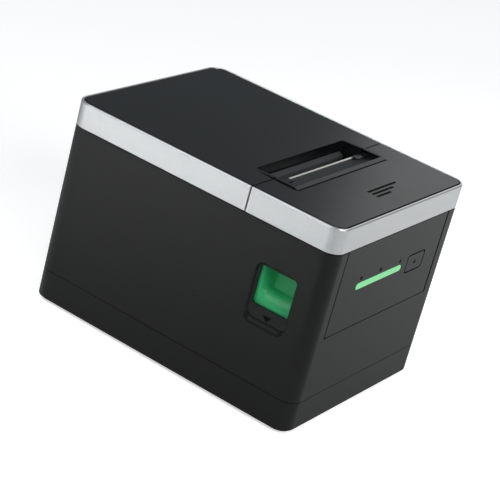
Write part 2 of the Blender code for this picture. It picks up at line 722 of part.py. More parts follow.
def make_cutter():
    """The automatic cutter: a frame, a toothed sliding blade, its pinion and a gear motor."""
    half = 45.4 * MM
    frame_y = (-80 * MM, -36.2 * MM)
    frame = block((-half, half), frame_y, (112.3 * MM, 115.2 * MM))
    rail = block((42 * MM, half), frame_y, (115 * MM, 119 * MM))
    hole = rod("Z", CUTTER, 6.2 * MM, (110 * MM, 120 * MM), 16)
    piece("cutter_frame", "inner_plastic", frame, joined=[rail, mirrored(rail)], removed=[hole])

    blade_half = 41.4 * MM
    blade_front = -74 * MM
    plan = [
        (-blade_half, blade_front), (blade_half, blade_front), (blade_half, BLADE_EDGE),
        (0, BLADE_EDGE - 3 * MM), (-blade_half, BLADE_EDGE),
    ]
    pitch_line = CUTTER.x + MODULE * CUTTER_TEETH / 2
    tooth = math.pi * MODULE
    slot_y = (CUTTER.y - 6.4 * MM - BLADE_TRAVEL, CUTTER.y + 6.4 * MM)
    root = pitch_line + 1.1 * MODULE
    tip = pitch_line - 0.85 * MODULE
    slot = [(CUTTER.x - 6.6 * MM, slot_y[0]), (root, slot_y[0])]
    count = int((slot_y[1] - slot_y[0]) / tooth) + 1
    for i in range(-count, count):
        middle = CUTTER.y + tooth * (i + 0.5)
        if slot_y[0] + 0.5 * tooth < middle < slot_y[1] - 0.4 * tooth:
            slot += [
                (root, middle - 0.33 * tooth), (tip, middle - 0.13 * tooth),
                (tip, middle + 0.13 * tooth), (root, middle + 0.33 * tooth),
            ]
    slot += [(root, slot_y[1]), (CUTTER.x - 6.6 * MM, slot_y[1])]
    rack = prism("Z", slot, (BLADE_Z[0] - 1 * MM, BLADE_Z[1] + 1 * MM))
    piece("moving_blade", "steel", prism("Z", plan, BLADE_Z), removed=[rack], joint=BLADE_SLIDE)

    teeth = gear_outline((CUTTER.x, CUTTER.y), CUTTER_TEETH, 0)
    stem = rod("Z", CUTTER, 2 * MM, (111 * MM, 117 * MM), 12)
    pinion = prism("Z", teeth, (115.4 * MM, 118 * MM))
    piece("cutter_pinion", "brass", pinion, joined=[stem], joint=CUTTER_TURN)
    motor = rod("Z", CUTTER, CUTTER_MOTOR_RADIUS, (84 * MM, 112 * MM), 20)
    cut = [
        rod("Z", CUTTER, 2 * MM + RUN, (110 * MM, 113 * MM), 12),
        block((CUTTER.x - 20 * MM, CUTTER.x + 20 * MM), (-47 * MM, -43 * MM), (80 * MM, 113 * MM)),
    ]
    piece("cutter_motor", "zinc_steel", motor, removed=cut)


# Release lever


def make_lever():
    """The green finger lever, its cross shaft, and the hooks that hold the platen bushes down."""
    face = WINDOW_WALL_INNER + GAP
    pad = block((face, -57.5 * MM), (-79 * MM, -48.5 * MM), (62 * MM, 96 * MM))
    arm = prism(
        "X",
        [(-52 * MM, 70 * MM), (-40 * MM, 71 * MM), (-40 * MM, 81 * MM), (-52 * MM, 86 * MM)],
        (-62 * MM, -57.5 * MM),
    )
    hub = rod("X", LEVER, 5.5 * MM, (-62 * MM, -50 * MM))
    bore = rod("X", LEVER, SHAFT_RADIUS + RUN, (-59.5 * MM, -49 * MM))
    scoop = prism(
        "Y",
        [(face - 1 * MM, 67 * MM), (face, 67 * MM), (-62.5 * MM, 76 * MM), (-61.5 * MM, 79 * MM),
         (-63 * MM, 84 * MM), (face, 89.4 * MM), (face - 1 * MM, 89.4 * MM)],
        (WINDOW_Y[0] + 0.8 * MM, WINDOW_Y[1] - 0.8 * MM),
    )
    piece("release_lever", "green_plastic", pad, joined=[arm, hub], removed=[bore, scoop], joint=LEVER_TURN)
    shaft = rod("X", LEVER, SHAFT_RADIUS, (-59 * MM, 48.6 * MM))
    piece("lever_shaft", "steel", shaft, joint=LEVER_TURN)

    hook = [
        (-45 * MM, 74 * MM), (-42 * MM, 71 * MM), (-37 * MM, 71 * MM), (-34.6 * MM, 75 * MM),
        (-31 * MM, 88 * MM), (-30.5 * MM, 96 * MM), (-30.5 * MM, 103 * MM), (-28.9 * MM, 106 * MM),
        (-28.9 * MM, 109 * MM), (-31 * MM, 111.5 * MM), (-34.5 * MM, 110 * MM), (-36 * MM, 96 * MM),
        (-41 * MM, 82 * MM),
    ]
    for side in (1, -1):
        word = "right" if side > 0 else "left"
        form = prism("X", hook, HOOK_X)
        hole = rod("X", LEVER, SHAFT_RADIUS + RUN, (45 * MM, 49 * MM))
        if side < 0:
            form, hole = mirrored(form), mirrored(hole)
        piece(f"latch_hook_{word}", "zinc_steel", form, removed=[hole], joint=LEVER_TURN)
    coil("lever_spring", LEVER_SPRING, "Z", LEVER_SPRING_RADIUS, LEVER_SPRING_LENGTH, 7)


# Control panel


def make_panel():
    """The front panel, its light bar and feed button, and the board behind them."""
    through = (-Y - 1 * MM, -Y + 5 * MM)
    cuts = [
        block((LIGHT_X[0] - GAP, LIGHT_X[1] + GAP), through, (LIGHT_Z[0] - GAP, LIGHT_Z[1] + GAP)),
        block(BUTTON_X, through, BUTTON_Z),
    ]
    panel = block((-PANEL_HALF, PANEL_HALF), (-Y, -Y + WALL), (PANEL_BOTTOM + GAP, CASE_TOP))
    piece("control_panel", "case_plastic", panel, removed=cuts)
    piece("status_light_bar", "light_green", block(LIGHT_X, (-Y, -90.2 * MM), LIGHT_Z))
    board = block((-50 * MM, 50 * MM), (-88.8 * MM, -87.4 * MM), (64 * MM, 108 * MM))
    switch = block((28.5 * MM, 34.5 * MM), (-90.2 * MM, -88 * MM), (84 * MM, 90 * MM))
    lamps = [
        block((x * MM, (x + 4) * MM), (-89.8 * MM, -88 * MM), (85.5 * MM, 88.5 * MM))
        for x in (-30, -13, 4)
    ]
    piece("control_board", "board_green", board, joined=[switch] + lamps)
    cap = block(
        (BUTTON_X[0] + GAP, BUTTON_X[1] - GAP),
        (-Y, -91.6 * MM),
        (BUTTON_Z[0] + GAP, BUTTON_Z[1] - GAP),
    )
    lap = 1.2 * MM
    flange = block(
        (BUTTON_X[0] - lap, BUTTON_X[1] + lap),
        (-92.2 * MM, -91.4 * MM),
        (BUTTON_Z[0] - lap, BUTTON_Z[1] + lap),
    )
    stem = rod("Y", (31.5 * MM, 0, 87 * MM), 1.6 * MM, (-92 * MM, -91.15 * MM), 10)
    piece("feed_button", "case_plastic", cap, joined=[flange, stem], joint=BUTTON_PRESS)


# Bucket, boards and sockets


def make_bucket():
    """The drop-in paper bucket: a round trough with end walls and a deck that meets the case."""
    top = DECK_Z[1]
    inner_low = BUCKET_Y - BUCKET_RADIUS
    inner_high = BUCKET_Y + BUCKET_RADIUS
    outer = BUCKET_RADIUS + BUCKET_WALL
    centre = (BUCKET_Y, BUCKET_Z)
    steps = 16
    above = top + 5 * MM
    hull = [(BUCKET_Y - outer, top)] + arc(centre, outer, 180, 360, steps) + [(BUCKET_Y + outer, top)]
    hollow = [(inner_low, above)] + arc(centre, BUCKET_RADIUS, 180, 360, steps) + [(inner_high, above)]
    across = BUCKET_HALF + BUCKET_WALL
    deck = block((-69.8 * MM, 69.8 * MM), (BUCKET_Y - outer, 84 * MM), DECK_Z)
    piece(
        "paper_bucket",
        "inner_plastic",
        prism("X", hull, (-across, across)),
        joined=[deck],
        removed=[prism("X", hollow, (-BUCKET_HALF, BUCKET_HALF))],
    )
    piece("paper_sensor", "socket_black", block((-5 * MM, 5 * MM), (-13 * MM, -7.1 * MM), (90 * MM, 98 * MM)))


def make_electronics():
    """The main board, the recessed rear panel, its sockets and the power rocker."""
    board = block((-56 * MM, 56 * MM), (-7 * MM, 80 * MM), BOARD_Z)
    parts = [
        block((-40 * MM, -26 * MM), (20 * MM, 34 * MM), (10 * MM, 12.2 * MM)),
        block((-8 * MM, 0), (44 * MM, 56 * MM), (10 * MM, 11.8 * MM)),
        rod("Z", (28 * MM, 14 * MM, 0), 5 * MM, (10 * MM, 18.5 * MM), 16),
        rod("Z", (40 * MM, 14 * MM, 0), 5 * MM, (10 * MM, 18.5 * MM), 16),
    ]
    piece("main_board", "board_green", board, joined=parts)

    sockets = {
        "power_inlet": ((-52 * MM, -39 * MM), (11 * MM, 24 * MM), None),
        "usb_socket": ((-30 * MM, -18 * MM), (11 * MM, 22 * MM), (8.4 * MM, 7.6 * MM)),
        "network_socket": ((-9 * MM, 7 * MM), (11 * MM, 24.5 * MM), (11.8 * MM, 8.4 * MM)),
        "drawer_socket": ((15 * MM, 29 * MM), (11 * MM, 23.5 * MM), (9.8 * MM, 6.8 * MM)),
    }
    holes = []
    for name, (x, z, opening) in sockets.items():
        middle = ((x[0] + x[1]) / 2, (z[0] + z[1]) / 2)
        holes.append(block((x[0] - GAP, x[1] + GAP), PANEL_CUT_Y, (z[0] - GAP, z[1] + GAP)))
        deep = (SOCKET_MOUTH - SOCKET_DEPTH, SOCKET_MOUTH + 1 * MM)
        if opening:
            u, v = opening[0] / 2, opening[1] / 2
            cavity = block((middle[0] - u, middle[0] + u), deep, (middle[1] - v, middle[1] + v))
            finish = "zinc_steel" if name != "drawer_socket" else "socket_black"
        else:
            cavity = rod("Y", (middle[0], 0, middle[1]), 4.8 * MM, deep, 20)
            finish = "socket_black"
        piece(name, finish, block(x, (SOCKET_FRONT, SOCKET_MOUTH), z), removed=[cavity])

    plate = block((-59.4 * MM, 59.4 * MM), REAR_PANEL_Y, (7.2 * MM, 33.4 * MM))
    half = Vector((7.5 * MM, 0, 5.5 * MM))
    case_half = half + Vector((1 * MM, 0, 1 * MM))
    switch_x = (SWITCH.x - case_half.x, SWITCH.x + case_half.x)
    switch_z = (SWITCH.z - case_half.z, SWITCH.z + case_half.z)
    switch_hole = block(
        (switch_x[0] - GAP, switch_x[1] + GAP),
        PANEL_CUT_Y,
        (switch_z[0] - GAP, switch_z[1] + GAP),
    )
    holes.append(switch_hole)
    piece("rear_panel", "case_plastic", plate, removed=holes)

    inside = block(
        (SWITCH.x - half.x, SWITCH.x + half.x),
        (SWITCH.y - 7 * MM, 94 * MM),
        (SWITCH.z - half.z, SWITCH.z + half.z),
    )
    housing = block(switch_x, (82 * MM, SOCKET_MOUTH), switch_z)
    piece("switch_housing", "socket_black", housing, removed=[inside])
    rocker = [
        (SWITCH.y - 3.2 * MM, SWITCH.z - 1.5 * MM), (SWITCH.y + 0.4 * MM, SWITCH.z - 4.8 * MM),
        (SWITCH.y + 3 * MM, SWITCH.z - 4.6 * MM), (SWITCH.y + 1.6 * MM, SWITCH.z),
        (SWITCH.y + 1.5 * MM, SWITCH.z + 4.9 * MM), (SWITCH.y - 1.4 * MM, SWITCH.z + 4.4 * MM),
        (SWITCH.y - 3.2 * MM, SWITCH.z + 1.5 * MM),
    ]
    x = (SWITCH.x - half.x + GAP, SWITCH.x + half.x - GAP)
    piece("power_rocker", "socket_black", prism("X", rocker, x), joint=ROCKER_TURN)


clear_scene()
LID = axis_empty("lid_axis", HINGE)
PLATEN_TURN = axis_empty("platen_axis", PLATEN)
IDLER_TURN = axis_empty("idler_axis", IDLER)
PINION_TURN = axis_empty("pinion_axis", PINION)
HEAD_TURN = axis_empty("head_axis", HEAD_PIVOT)
LEVER_TURN = axis_empty("lever_axis", LEVER)
BLADE_SLIDE = axis_empty("blade_axis", CUTTER)
CUTTER_TURN = axis_empty("cutter_axis", CUTTER)
BUTTON_PRESS = axis_empty("button_axis", Vector((31.35 * MM, -Y, 87 * MM)))
ROCKER_TURN = axis_empty("rocker_axis", SWITCH)

make_main_case()
make_base()
make_bands()
make_front_cover()
make_lid()
make_feed_train()
make_mechanism()
make_cutter()
make_lever()
make_panel()
make_bucket()
make_electronics()
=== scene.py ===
"""Finish model of a desktop receipt printer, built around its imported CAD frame.

The file is laid out as a Blender add-on and is run as a script. Lengths are in metres, except
for a piece's edge width and the depth of a finish's bump, which are in millimetres.
"""

import json
import math

import bmesh
import bpy
from bpy.props import FloatProperty, FloatVectorProperty, IntProperty, PointerProperty
from bpy.types import Operator, Panel, PropertyGroup
from mathutils import Matrix, Vector


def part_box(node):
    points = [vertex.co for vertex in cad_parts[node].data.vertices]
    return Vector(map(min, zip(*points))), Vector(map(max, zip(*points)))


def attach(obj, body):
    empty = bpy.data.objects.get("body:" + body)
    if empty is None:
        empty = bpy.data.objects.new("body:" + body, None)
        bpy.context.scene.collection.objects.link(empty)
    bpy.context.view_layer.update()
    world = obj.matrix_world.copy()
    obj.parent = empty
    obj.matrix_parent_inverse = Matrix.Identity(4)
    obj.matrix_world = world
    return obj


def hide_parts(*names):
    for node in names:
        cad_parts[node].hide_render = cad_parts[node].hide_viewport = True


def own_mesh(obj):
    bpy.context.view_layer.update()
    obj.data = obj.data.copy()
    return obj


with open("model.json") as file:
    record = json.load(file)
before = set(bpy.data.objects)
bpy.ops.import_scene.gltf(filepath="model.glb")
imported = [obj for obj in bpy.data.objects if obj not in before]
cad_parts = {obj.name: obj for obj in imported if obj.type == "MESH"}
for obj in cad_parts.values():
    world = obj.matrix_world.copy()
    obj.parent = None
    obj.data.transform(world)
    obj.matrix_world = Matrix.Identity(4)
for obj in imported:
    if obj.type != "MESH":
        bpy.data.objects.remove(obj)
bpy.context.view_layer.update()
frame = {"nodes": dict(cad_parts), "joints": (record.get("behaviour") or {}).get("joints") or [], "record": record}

bl_info = {
    "name": "Receipt Printer",
    "version": (1, 0, 0),
    "blender": (4, 5, 0),
    "location": "3D View > Sidebar > Printer",
    "description": "Builds the finished surfaces of a desktop receipt printer around its frame",
    "category": "Object",
}

MM = 0.001
NODES = frame["nodes"]

# Places read from the frame
CASE_LOW, CASE_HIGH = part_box("main_case")
BASE_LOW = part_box("base_tray")[0]
LID_LOW, LID_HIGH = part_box("lid_band")
FRONT_LOW, FRONT_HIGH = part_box("front_band")
PANEL_LOW, PANEL_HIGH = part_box("control_panel")
LEVER_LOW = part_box("release_lever")[0]
JOINTS = {joint["name"]: joint for joint in frame["joints"]}
HINGE = Vector(JOINTS["lid_hinge"]["pos_m"])
PLATEN = Vector(JOINTS["platen_turn"]["pos_m"])
LEVER_AXIS = Vector(JOINTS["lever_press"]["pos_m"])
TOP = LID_HIGH.z
SIDE = CASE_HIGH.x
FRONT = CASE_LOW.y
REAR = CASE_HIGH.y
SEAM = 20.35 * MM  # height of the line between case and base tray
EXIT_HALF = 47.5 * MM
EXIT_FRONT, EXIT_REAR = -46.5 * MM, -19 * MM
SOCKET_DEPTH = 10 * MM
SCREW_PLACES = [(x * MM, y * MM) for x in (-64.5, 64.5) for y in (-86, 86)]
SAME = 1e-6  # nearer than this, two lengths count as equal


def mm(*lengths):
    """Millimetres as a tuple of metres."""
    return tuple(length * MM for length in lengths)


class PrinterSizes(PropertyGroup):
    """Lengths that shape the finish."""

    front_radius: FloatProperty(
        name="Front corners", description="Radius of the upright front corners",
        default=9 * MM, unit="LENGTH",
    )
    rear_radius: FloatProperty(
        name="Rear corners", description="Radius of the upright rear corners",
        default=10.5 * MM, unit="LENGTH",
    )
    wall: FloatProperty(
        name="Wall", description="Thickness of the casing", default=2.5 * MM, unit="LENGTH"
    )
    band_wall: FloatProperty(
        name="Band wall", description="Thickness of the silver band", default=1.5 * MM, unit="LENGTH"
    )
    band_fillet: FloatProperty(
        name="Band fillet", description="Rounding of the band's upper outer edge",
        default=1.0 * MM, unit="LENGTH",
    )
    small_edge: FloatProperty(
        name="Small edges", description="Rounding of moulded edges", default=0.35 * MM, unit="LENGTH"
    )
    top_gap: FloatProperty(
        name="Top gap", description="Dark line between the band and the black top",
        default=1.0 * MM, unit="LENGTH",
    )
    split_gap: FloatProperty(
        name="Lid gap", description="Width of the line between lid and front cover",
        default=0.8 * MM, unit="LENGTH",
    )
    window_radius: FloatProperty(
        name="Window corners", description="Corner radius of the lever's window",
        default=2 * MM, unit="LENGTH",
    )
    corner_segments: IntProperty(
        name="Corner segments", description="Steps around each upright corner", default=12, min=4
    )


class PrinterColours(PropertyGroup):
    """Base colours of the finishes."""

    case: FloatVectorProperty(
        name="Case", description="Satin plastic of the case",
        default=(0.003, 0.0031, 0.003), subtype="COLOR",
    )
    top: FloatVectorProperty(
        name="Top", description="Smoother plastic of the top",
        default=(0.0032, 0.0038, 0.0042), subtype="COLOR",
    )
    silver: FloatVectorProperty(
        name="Silver", description="Metallic paint of the band",
        default=(0.9, 0.915, 0.92), subtype="COLOR",
    )
    green: FloatVectorProperty(
        name="Green", description="Plastic of the release lever",
        default=(0.036, 0.5, 0.18), subtype="COLOR",
    )
    light: FloatVectorProperty(
        name="Light", description="Glow of the status light", default=(0.24, 0.72, 0.32), subtype="COLOR"
    )
    inner: FloatVectorProperty(
        name="Inside", description="Moulded inner parts", default=(0.035, 0.036, 0.038), subtype="COLOR"
    )
    floor: FloatVectorProperty(
        name="Floor", description="Studio floor", default=(0.86, 0.86, 0.86), subtype="COLOR"
    )


def sizes():
    return bpy.context.scene.printer_sizes


def colours():
    return bpy.context.scene.printer_colours


# Shader node groups: each puts out only colours, masks and heights


EFFECT_INPUTS = {
    "moulded": ("Colour", "Roughness", "Grain Scale", "Cloud", "Smudge"),
    "flake": ("Colour", "Roughness", "Flake Scale", "Sparkle"),
    "metal": ("Colour", "Roughness", "Lines", "Blotch"),
}
EFFECT_OUTPUTS = ("Colour", "Roughness", "Height")


def new_group(effect):
    """An empty effect group, with the sockets of its inputs."""
    tree = bpy.data.node_groups.new(effect + "_effect", "ShaderNodeTree")
    for direction, labels in (("INPUT", EFFECT_INPUTS[effect]), ("OUTPUT", EFFECT_OUTPUTS)):
        for label in labels:
            kind = "NodeSocketColor" if label == "Colour" else "NodeSocketFloat"
            tree.interface.new_socket(name=label, in_out=direction, socket_type=kind)
    return tree, tree.nodes.new("NodeGroupInput").outputs


def put_out(tree, *sockets):
    """Link what an effect group puts out, in the order of its outputs."""
    outlet = tree.nodes.new("NodeGroupOutput")
    for label, socket in zip(EFFECT_OUTPUTS, sockets):
        tree.links.new(socket, outlet.inputs[label])


def feed(tree, socket, value):
    """Link another socket to a socket, or set a value on it."""
    if isinstance(value, bpy.types.NodeSocket):
        tree.links.new(value, socket)
    else:
        socket.default_value = value


def maths(tree, operation, *values):
    """A Math node with links or numbers on its sockets."""
    node = tree.nodes.new("ShaderNodeMath")
    node.operation = operation
    for socket, value in zip(node.inputs, values):
        feed(tree, socket, value)
    return node.outputs[0]


def noise(tree, vector, scale, detail, roughness):
    """A Noise Texture's value."""
    node = tree.nodes.new("ShaderNodeTexNoise")
    values = {"Vector": vector, "Scale": scale, "Detail": detail, "Roughness": roughness}
    for label, value in values.items():
        feed(tree, node.inputs[label], value)
    return node.outputs["Fac"]


def object_coordinates(tree, stretch=(1, 1, 1)):
    """Object coordinates through a Mapping node."""
    place = tree.nodes.new("ShaderNodeTexCoord")
    mapping = tree.nodes.new("ShaderNodeMapping")
    mapping.inputs["Scale"].default_value = stretch
    tree.links.new(place.outputs["Object"], mapping.inputs["Vector"])
    return mapping.outputs["Vector"]


def blend_colours(tree, factor, first, second):
    """A Mix node of two colours."""
    node = tree.nodes.new("ShaderNodeMix")
    node.data_type = "RGBA"
    node.clamp_factor = True
    factor_at, first_at, second_at, result_at = 0, 6, 7, 2  # the sockets that serve colours
    for place, value in ((factor_at, factor), (first_at, first), (second_at, second)):
        feed(tree, node.inputs[place], value)
    return node.outputs[result_at]


def moulded_group():
    """Moulded plastic: fine spark-erosion grain, slight cloudiness, and handling smudges."""
    tree, given = new_group("moulded")
    where = object_coordinates(tree)
    fine = noise(tree, where, given["Grain Scale"], 3.0, 0.6)
    cloud = noise(tree, where, 38.0, 3.0, 0.55)
    smear = noise(tree, object_coordinates(tree, (1.0, 0.45, 1.0)), 90.0, 4.0, 0.62)
    lift = maths(tree, "MULTIPLY", cloud, given["Cloud"])
    lighter = blend_colours(tree, lift, given["Colour"], (0.5, 0.5, 0.5, 1))
    speck = maths(tree, "MULTIPLY", fine, 0.02)
    final = blend_colours(tree, speck, lighter, (0.12, 0.12, 0.12, 1))
    centred = maths(tree, "SUBTRACT", smear, 0.5)
    rough = maths(tree, "MULTIPLY_ADD", centred, given["Smudge"], given["Roughness"])
    put_out(tree, final, rough, fine)
    return tree


def flake_group():
    """Metallic paint: tiny flakes of differing brightness and a trace of orange peel."""
    tree, given = new_group("flake")
    where = object_coordinates(tree)
    cells = tree.nodes.new("ShaderNodeTexVoronoi")
    tree.links.new(where, cells.inputs["Vector"])
    tree.links.new(given["Flake Scale"], cells.inputs["Scale"])
    parted = tree.nodes.new("ShaderNodeSeparateColor")
    tree.links.new(cells.outputs["Color"], parted.inputs[0])
    flake = maths(tree, "MULTIPLY", parted.outputs[0], given["Sparkle"])
    paint = blend_colours(tree, flake, given["Colour"], (0.35, 0.36, 0.37, 1))
    peel = noise(tree, where, 420.0, 2.0, 0.5)
    drift = maths(tree, "MULTIPLY_ADD", maths(tree, "SUBTRACT", peel, 0.5), 0.05, given["Roughness"])
    put_out(tree, paint, drift, maths(tree, "MULTIPLY_ADD", parted.outputs[1], 0.25, peel))
    return tree


def metal_group():
    """Bare metal: lines along the rolling direction, and blotches."""
    tree, given = new_group("metal")
    lines = noise(tree, object_coordinates(tree, (12.0, 900.0, 900.0)), 3.0, 3.0, 0.7)
    blotch = noise(tree, object_coordinates(tree), 140.0, 4.0, 0.6)
    shade = maths(tree, "MULTIPLY", blotch, given["Blotch"])
    metal = blend_colours(tree, shade, given["Colour"], (0.22, 0.22, 0.21, 1))
    rough = maths(tree, "MULTIPLY_ADD", lines, given["Lines"], given["Roughness"])
    put_out(tree, metal, rough, lines)
    return tree


GROUPS = {}


def group(name):
    """The named node group, built once."""
    makers = {"moulded": moulded_group, "flake": flake_group, "metal": metal_group}
    if name not in GROUPS:
        GROUPS[name] = makers[name]()
    return GROUPS[name]


SPECULAR = "Specular IOR Level"


def milky(weight):
    """Shader values of a plastic that lets light in a little way."""
    return {"Subsurface Weight": weight, "Subsurface Radius": mm(2, 2, 2)}


# Finish: effect group, bump in mm, the group's values, the shader's own values.
# A colour given by name is one of the user's colours.
RECIPES = {
    "case_plastic": ("moulded", 0.015, ("case", 0.26, 2300, 0.002, 0.06), {SPECULAR: 0.42}),
    "top_plastic": ("moulded", 0.01, ("top", 0.24, 3200, 0.002, 0.05), {SPECULAR: 0.42}),
    "inner_plastic": ("moulded", 0.06, ("inner", 0.55, 1500, 0.012, 0.08), {}),
    "green_plastic": ("moulded", 0.02, ("green", 0.38, 3000, 0.02, 0.08), {SPECULAR: 0.4}),
    "light_green": ("moulded", 0.01, ("light", 0.34, 2600, 0.02, 0.05), milky(0.3)),
    "rubber": ("moulded", 0.08, ((0.018, 0.018, 0.019), 0.78, 1900, 0.02, 0.1), {}),
    "nylon": ("moulded", 0.02, ((0.66, 0.63, 0.56), 0.42, 2200, 0.1, 0.1), milky(0.15)),
    "socket_black": ("moulded", 0.02, ((0.022, 0.022, 0.024), 0.36, 2400, 0.01, 0.06), {}),
    "board_green": ("moulded", 0.02, ((0.012, 0.115, 0.045), 0.32, 900, 0.05, 0.1), {"Coat Weight": 0.4}),
    "ceramic": ("moulded", 0.005, ((0.42, 0.27, 0.16), 0.22, 1500, 0.05, 0.05), {"Coat Weight": 0.5}),
    "mark_print": ("moulded", 0.003, ((0.003, 0.003, 0.0032), 0.75, 3000, 0, 0.05), {SPECULAR: 0.08}),
    "studio_floor": ("moulded", 0.02, ("floor", 0.9, 300, 0, 0.02), {SPECULAR: 0.1}),
    "silver_paint": (
        "flake", 0.008, ("silver", 0.3, 5200, 0.18),
        {"Metallic": 0.85, "Coat Weight": 0.2, "Coat Roughness": 0.15},
    ),
    "steel": ("metal", 0.006, ((0.72, 0.71, 0.69), 0.2, 0.14, 0.12), {"Metallic": 1}),
    "blade_steel": ("metal", 0.004, ((0.95, 0.92, 0.88), 0.38, 0.08, 0.03), {"Metallic": 1}),
    "zinc_steel": ("metal", 0.01, ((0.52, 0.53, 0.54), 0.34, 0.12, 0.3), {"Metallic": 1}),
    "aluminium": ("metal", 0.01, ((0.68, 0.69, 0.7), 0.32, 0.2, 0.1), {"Metallic": 1}),
    "brass": ("metal", 0.006, ((0.7, 0.48, 0.18), 0.24, 0.1, 0.15), {"Metallic": 1}),
}
FLOOR_SHADE = 0.62  # how bright the floor is where the camera doesn't look at it directly
FINISHES = {}


def finish(name):
    """The named material, built once."""
    if name not in FINISHES:
        FINISHES[name] = make_finish(name)
    return FINISHES[name]


def make_finish(name):
    """A material whose colour, roughness and bump come from an effect group."""
    effect, bump, values, constants = RECIPES[name]
    made = bpy.data.materials.new(name + "_finish")
    made.use_nodes = True
    tree = made.node_tree
    shader = tree.nodes["Principled BSDF"]
    effect_node = tree.nodes.new("ShaderNodeGroup")
    effect_node.node_tree = group(effect)
    colour = values[0]
    if isinstance(colour, str):
        colour = tuple(getattr(colours(), colour))
    if name == "studio_floor":
        colour = tuple(part * FLOOR_SHADE for part in colour)
    for label, value in zip(EFFECT_INPUTS[effect], ((*colour, 1), *values[1:])):
        effect_node.inputs[label].default_value = value
    tree.links.new(effect_node.outputs["Colour"], shader.inputs["Base Color"])
    tree.links.new(effect_node.outputs["Roughness"], shader.inputs["Roughness"])
    relief = tree.nodes.new("ShaderNodeBump")
    relief.inputs["Distance"].default_value = bump * MM
    relief.inputs["Strength"].default_value = 0.5
    tree.links.new(effect_node.outputs["Height"], relief.inputs["Height"])
    tree.links.new(relief.outputs["Normal"], shader.inputs["Normal"])
    for label, value in constants.items():
        shader.inputs[label].default_value = value
    if name == "light_green":
        add_glow(tree, shader, (*colour, 1))
    return made


def add_glow(tree, shader, glow):
    """The status light's even glow, a little paler in patches."""
    patches = noise(tree, object_coordinates(tree), 120.0, 2.0, 0.5)
    pale = blend_colours(tree, patches, glow, (0.32, 0.8, 0.4, 1))
    tree.links.new(pale, shader.inputs["Emission Color"])
    shader.inputs["Emission Strength"].default_value = 0.28


# Mesh tools


def block(low, high):
    """A box between two corners, as a bmesh."""
    low, high = Vector(low), Vector(high)
    shape = bmesh.new()
    bmesh.ops.create_cube(shape, size=1)
    bmesh.ops.scale(shape, vec=high - low, verts=shape.verts)
    bmesh.ops.translate(shape, vec=(low + high) / 2, verts=shape.verts)
    return shape


def round_edges(shape, radius, segments, chosen):
    """Bevel the edges that a test picks."""
    edges = [edge for edge in shape.edges if chosen(edge)]
    bmesh.ops.bevel(
        shape, geom=edges, offset=radius, offset_type="OFFSET", affect="EDGES",
        segments=segments, profile=0.5, material=-1, clamp_overlap=True,
    )
    return shape


def runs_along(axis, test=lambda middle: True):
    """A test for edges along an axis whose middle also passes a test of its own."""

    def chosen(edge):
        first, second = edge.verts[0].co, edge.verts[1].co
        run = second - first
        off = run.length - abs(run[axis])
        return off < SAME / 10 and run.length > SAME / 10 and test((first + second) / 2)

    return chosen


def rounded_block(low, high, axis, radius, segments=6):
    """A box whose edges along one axis are rounded."""
    return round_edges(block(low, high), radius, segments, runs_along(axis))


def column(inset, low, high, front=FRONT, rear=REAR):
    """The case's plan as a solid, drawn in by an inset, with round corners at the ends it reaches."""
    look = sizes()
    near = front + inset if front == FRONT else front
    far = rear - inset if rear == REAR else rear
    shape = block((-SIDE + inset, near, low), (SIDE - inset, far, high))
    middle = (near + far) / 2
    if front == FRONT:
        round_edges(
            shape, look.front_radius - inset, look.corner_segments, runs_along(2, lambda m: m.y < middle)
        )
    if rear == REAR:
        round_edges(
            shape, look.rear_radius - inset, look.corner_segments,
            runs_along(2, lambda m: m.y > middle and abs(abs(m.x) - SIDE + inset) < SAME),
        )
    return shape


def rod(axis, centre, radius, ends, segments=32):
    """A round bar along an axis."""
    shape = bmesh.new()
    length = ends[1] - ends[0]
    bmesh.ops.create_cone(
        shape, cap_ends=True, segments=segments, radius1=radius, radius2=radius, depth=length
    )
    if axis < 2:
        turn = Matrix.Rotation(math.pi / 2, 3, "YX"[axis])
        bmesh.ops.rotate(shape, cent=(0, 0, 0), matrix=turn, verts=shape.verts)
    place = Vector(centre)
    place[axis] = (ends[0] + ends[1]) / 2
    bmesh.ops.translate(shape, vec=place, verts=shape.verts)
    return shape


def shaft_in(node, centre, radius, segments=32):
    """A round bar as long as a CAD node."""
    low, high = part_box(node)
    return rod(0, centre, radius, (low.x, high.x), segments)


def wedge(axis, outline, ends):
    """A profile drawn in the plane across an axis, extruded along it."""
    shape = bmesh.new()
    start, end = ends
    corners = [(*point[:axis], start, *point[axis:]) for point in outline]
    face = shape.faces.new([shape.verts.new(corner) for corner in corners])
    grown = bmesh.ops.extrude_face_region(shape, geom=[face])["geom"]
    shift = Vector((0, 0, 0))
    shift[axis] = end - start
    bmesh.ops.translate(shape, vec=shift, verts=[v for v in grown if isinstance(v, bmesh.types.BMVert)])
    bmesh.ops.recalc_face_normals(shape, faces=shape.faces)
    return shape


def round_rectangle(y, z, radius, segments=8):
    """Points of a rectangle with round corners, anticlockwise."""
    points = []
    corners = (
        (y[1], z[1], -1, -1, 0), (y[0], z[1], 1, -1, 90),
        (y[0], z[0], 1, 1, 180), (y[1], z[0], -1, 1, 270),
    )
    for corner_y, corner_z, inward_y, inward_z, start in corners:
        centre = (corner_y + inward_y * radius, corner_z + inward_z * radius)
        for i in range(segments + 1):
            angle = math.radians(start + 90 * i / segments)
            points.append((centre[0] + radius * math.cos(angle), centre[1] + radius * math.sin(angle)))
    return points


def lofted(layers):
    """A solid through a stack of outlines that have the same number of points."""
    shape = bmesh.new()
    rings = [[shape.verts.new(point) for point in layer] for layer in layers]
    loops = [[shape.edges.new((ring[i - 1], ring[i])) for i in range(len(ring))] for ring in rings]
    for near, far in zip(loops, loops[1:]):
        bmesh.ops.bridge_loops(shape, edges=near + far)
    for ring in (rings[0], rings[-1]):
        shape.faces.new(ring)
    bmesh.ops.recalc_face_normals(shape, faces=shape.faces)
    return shape


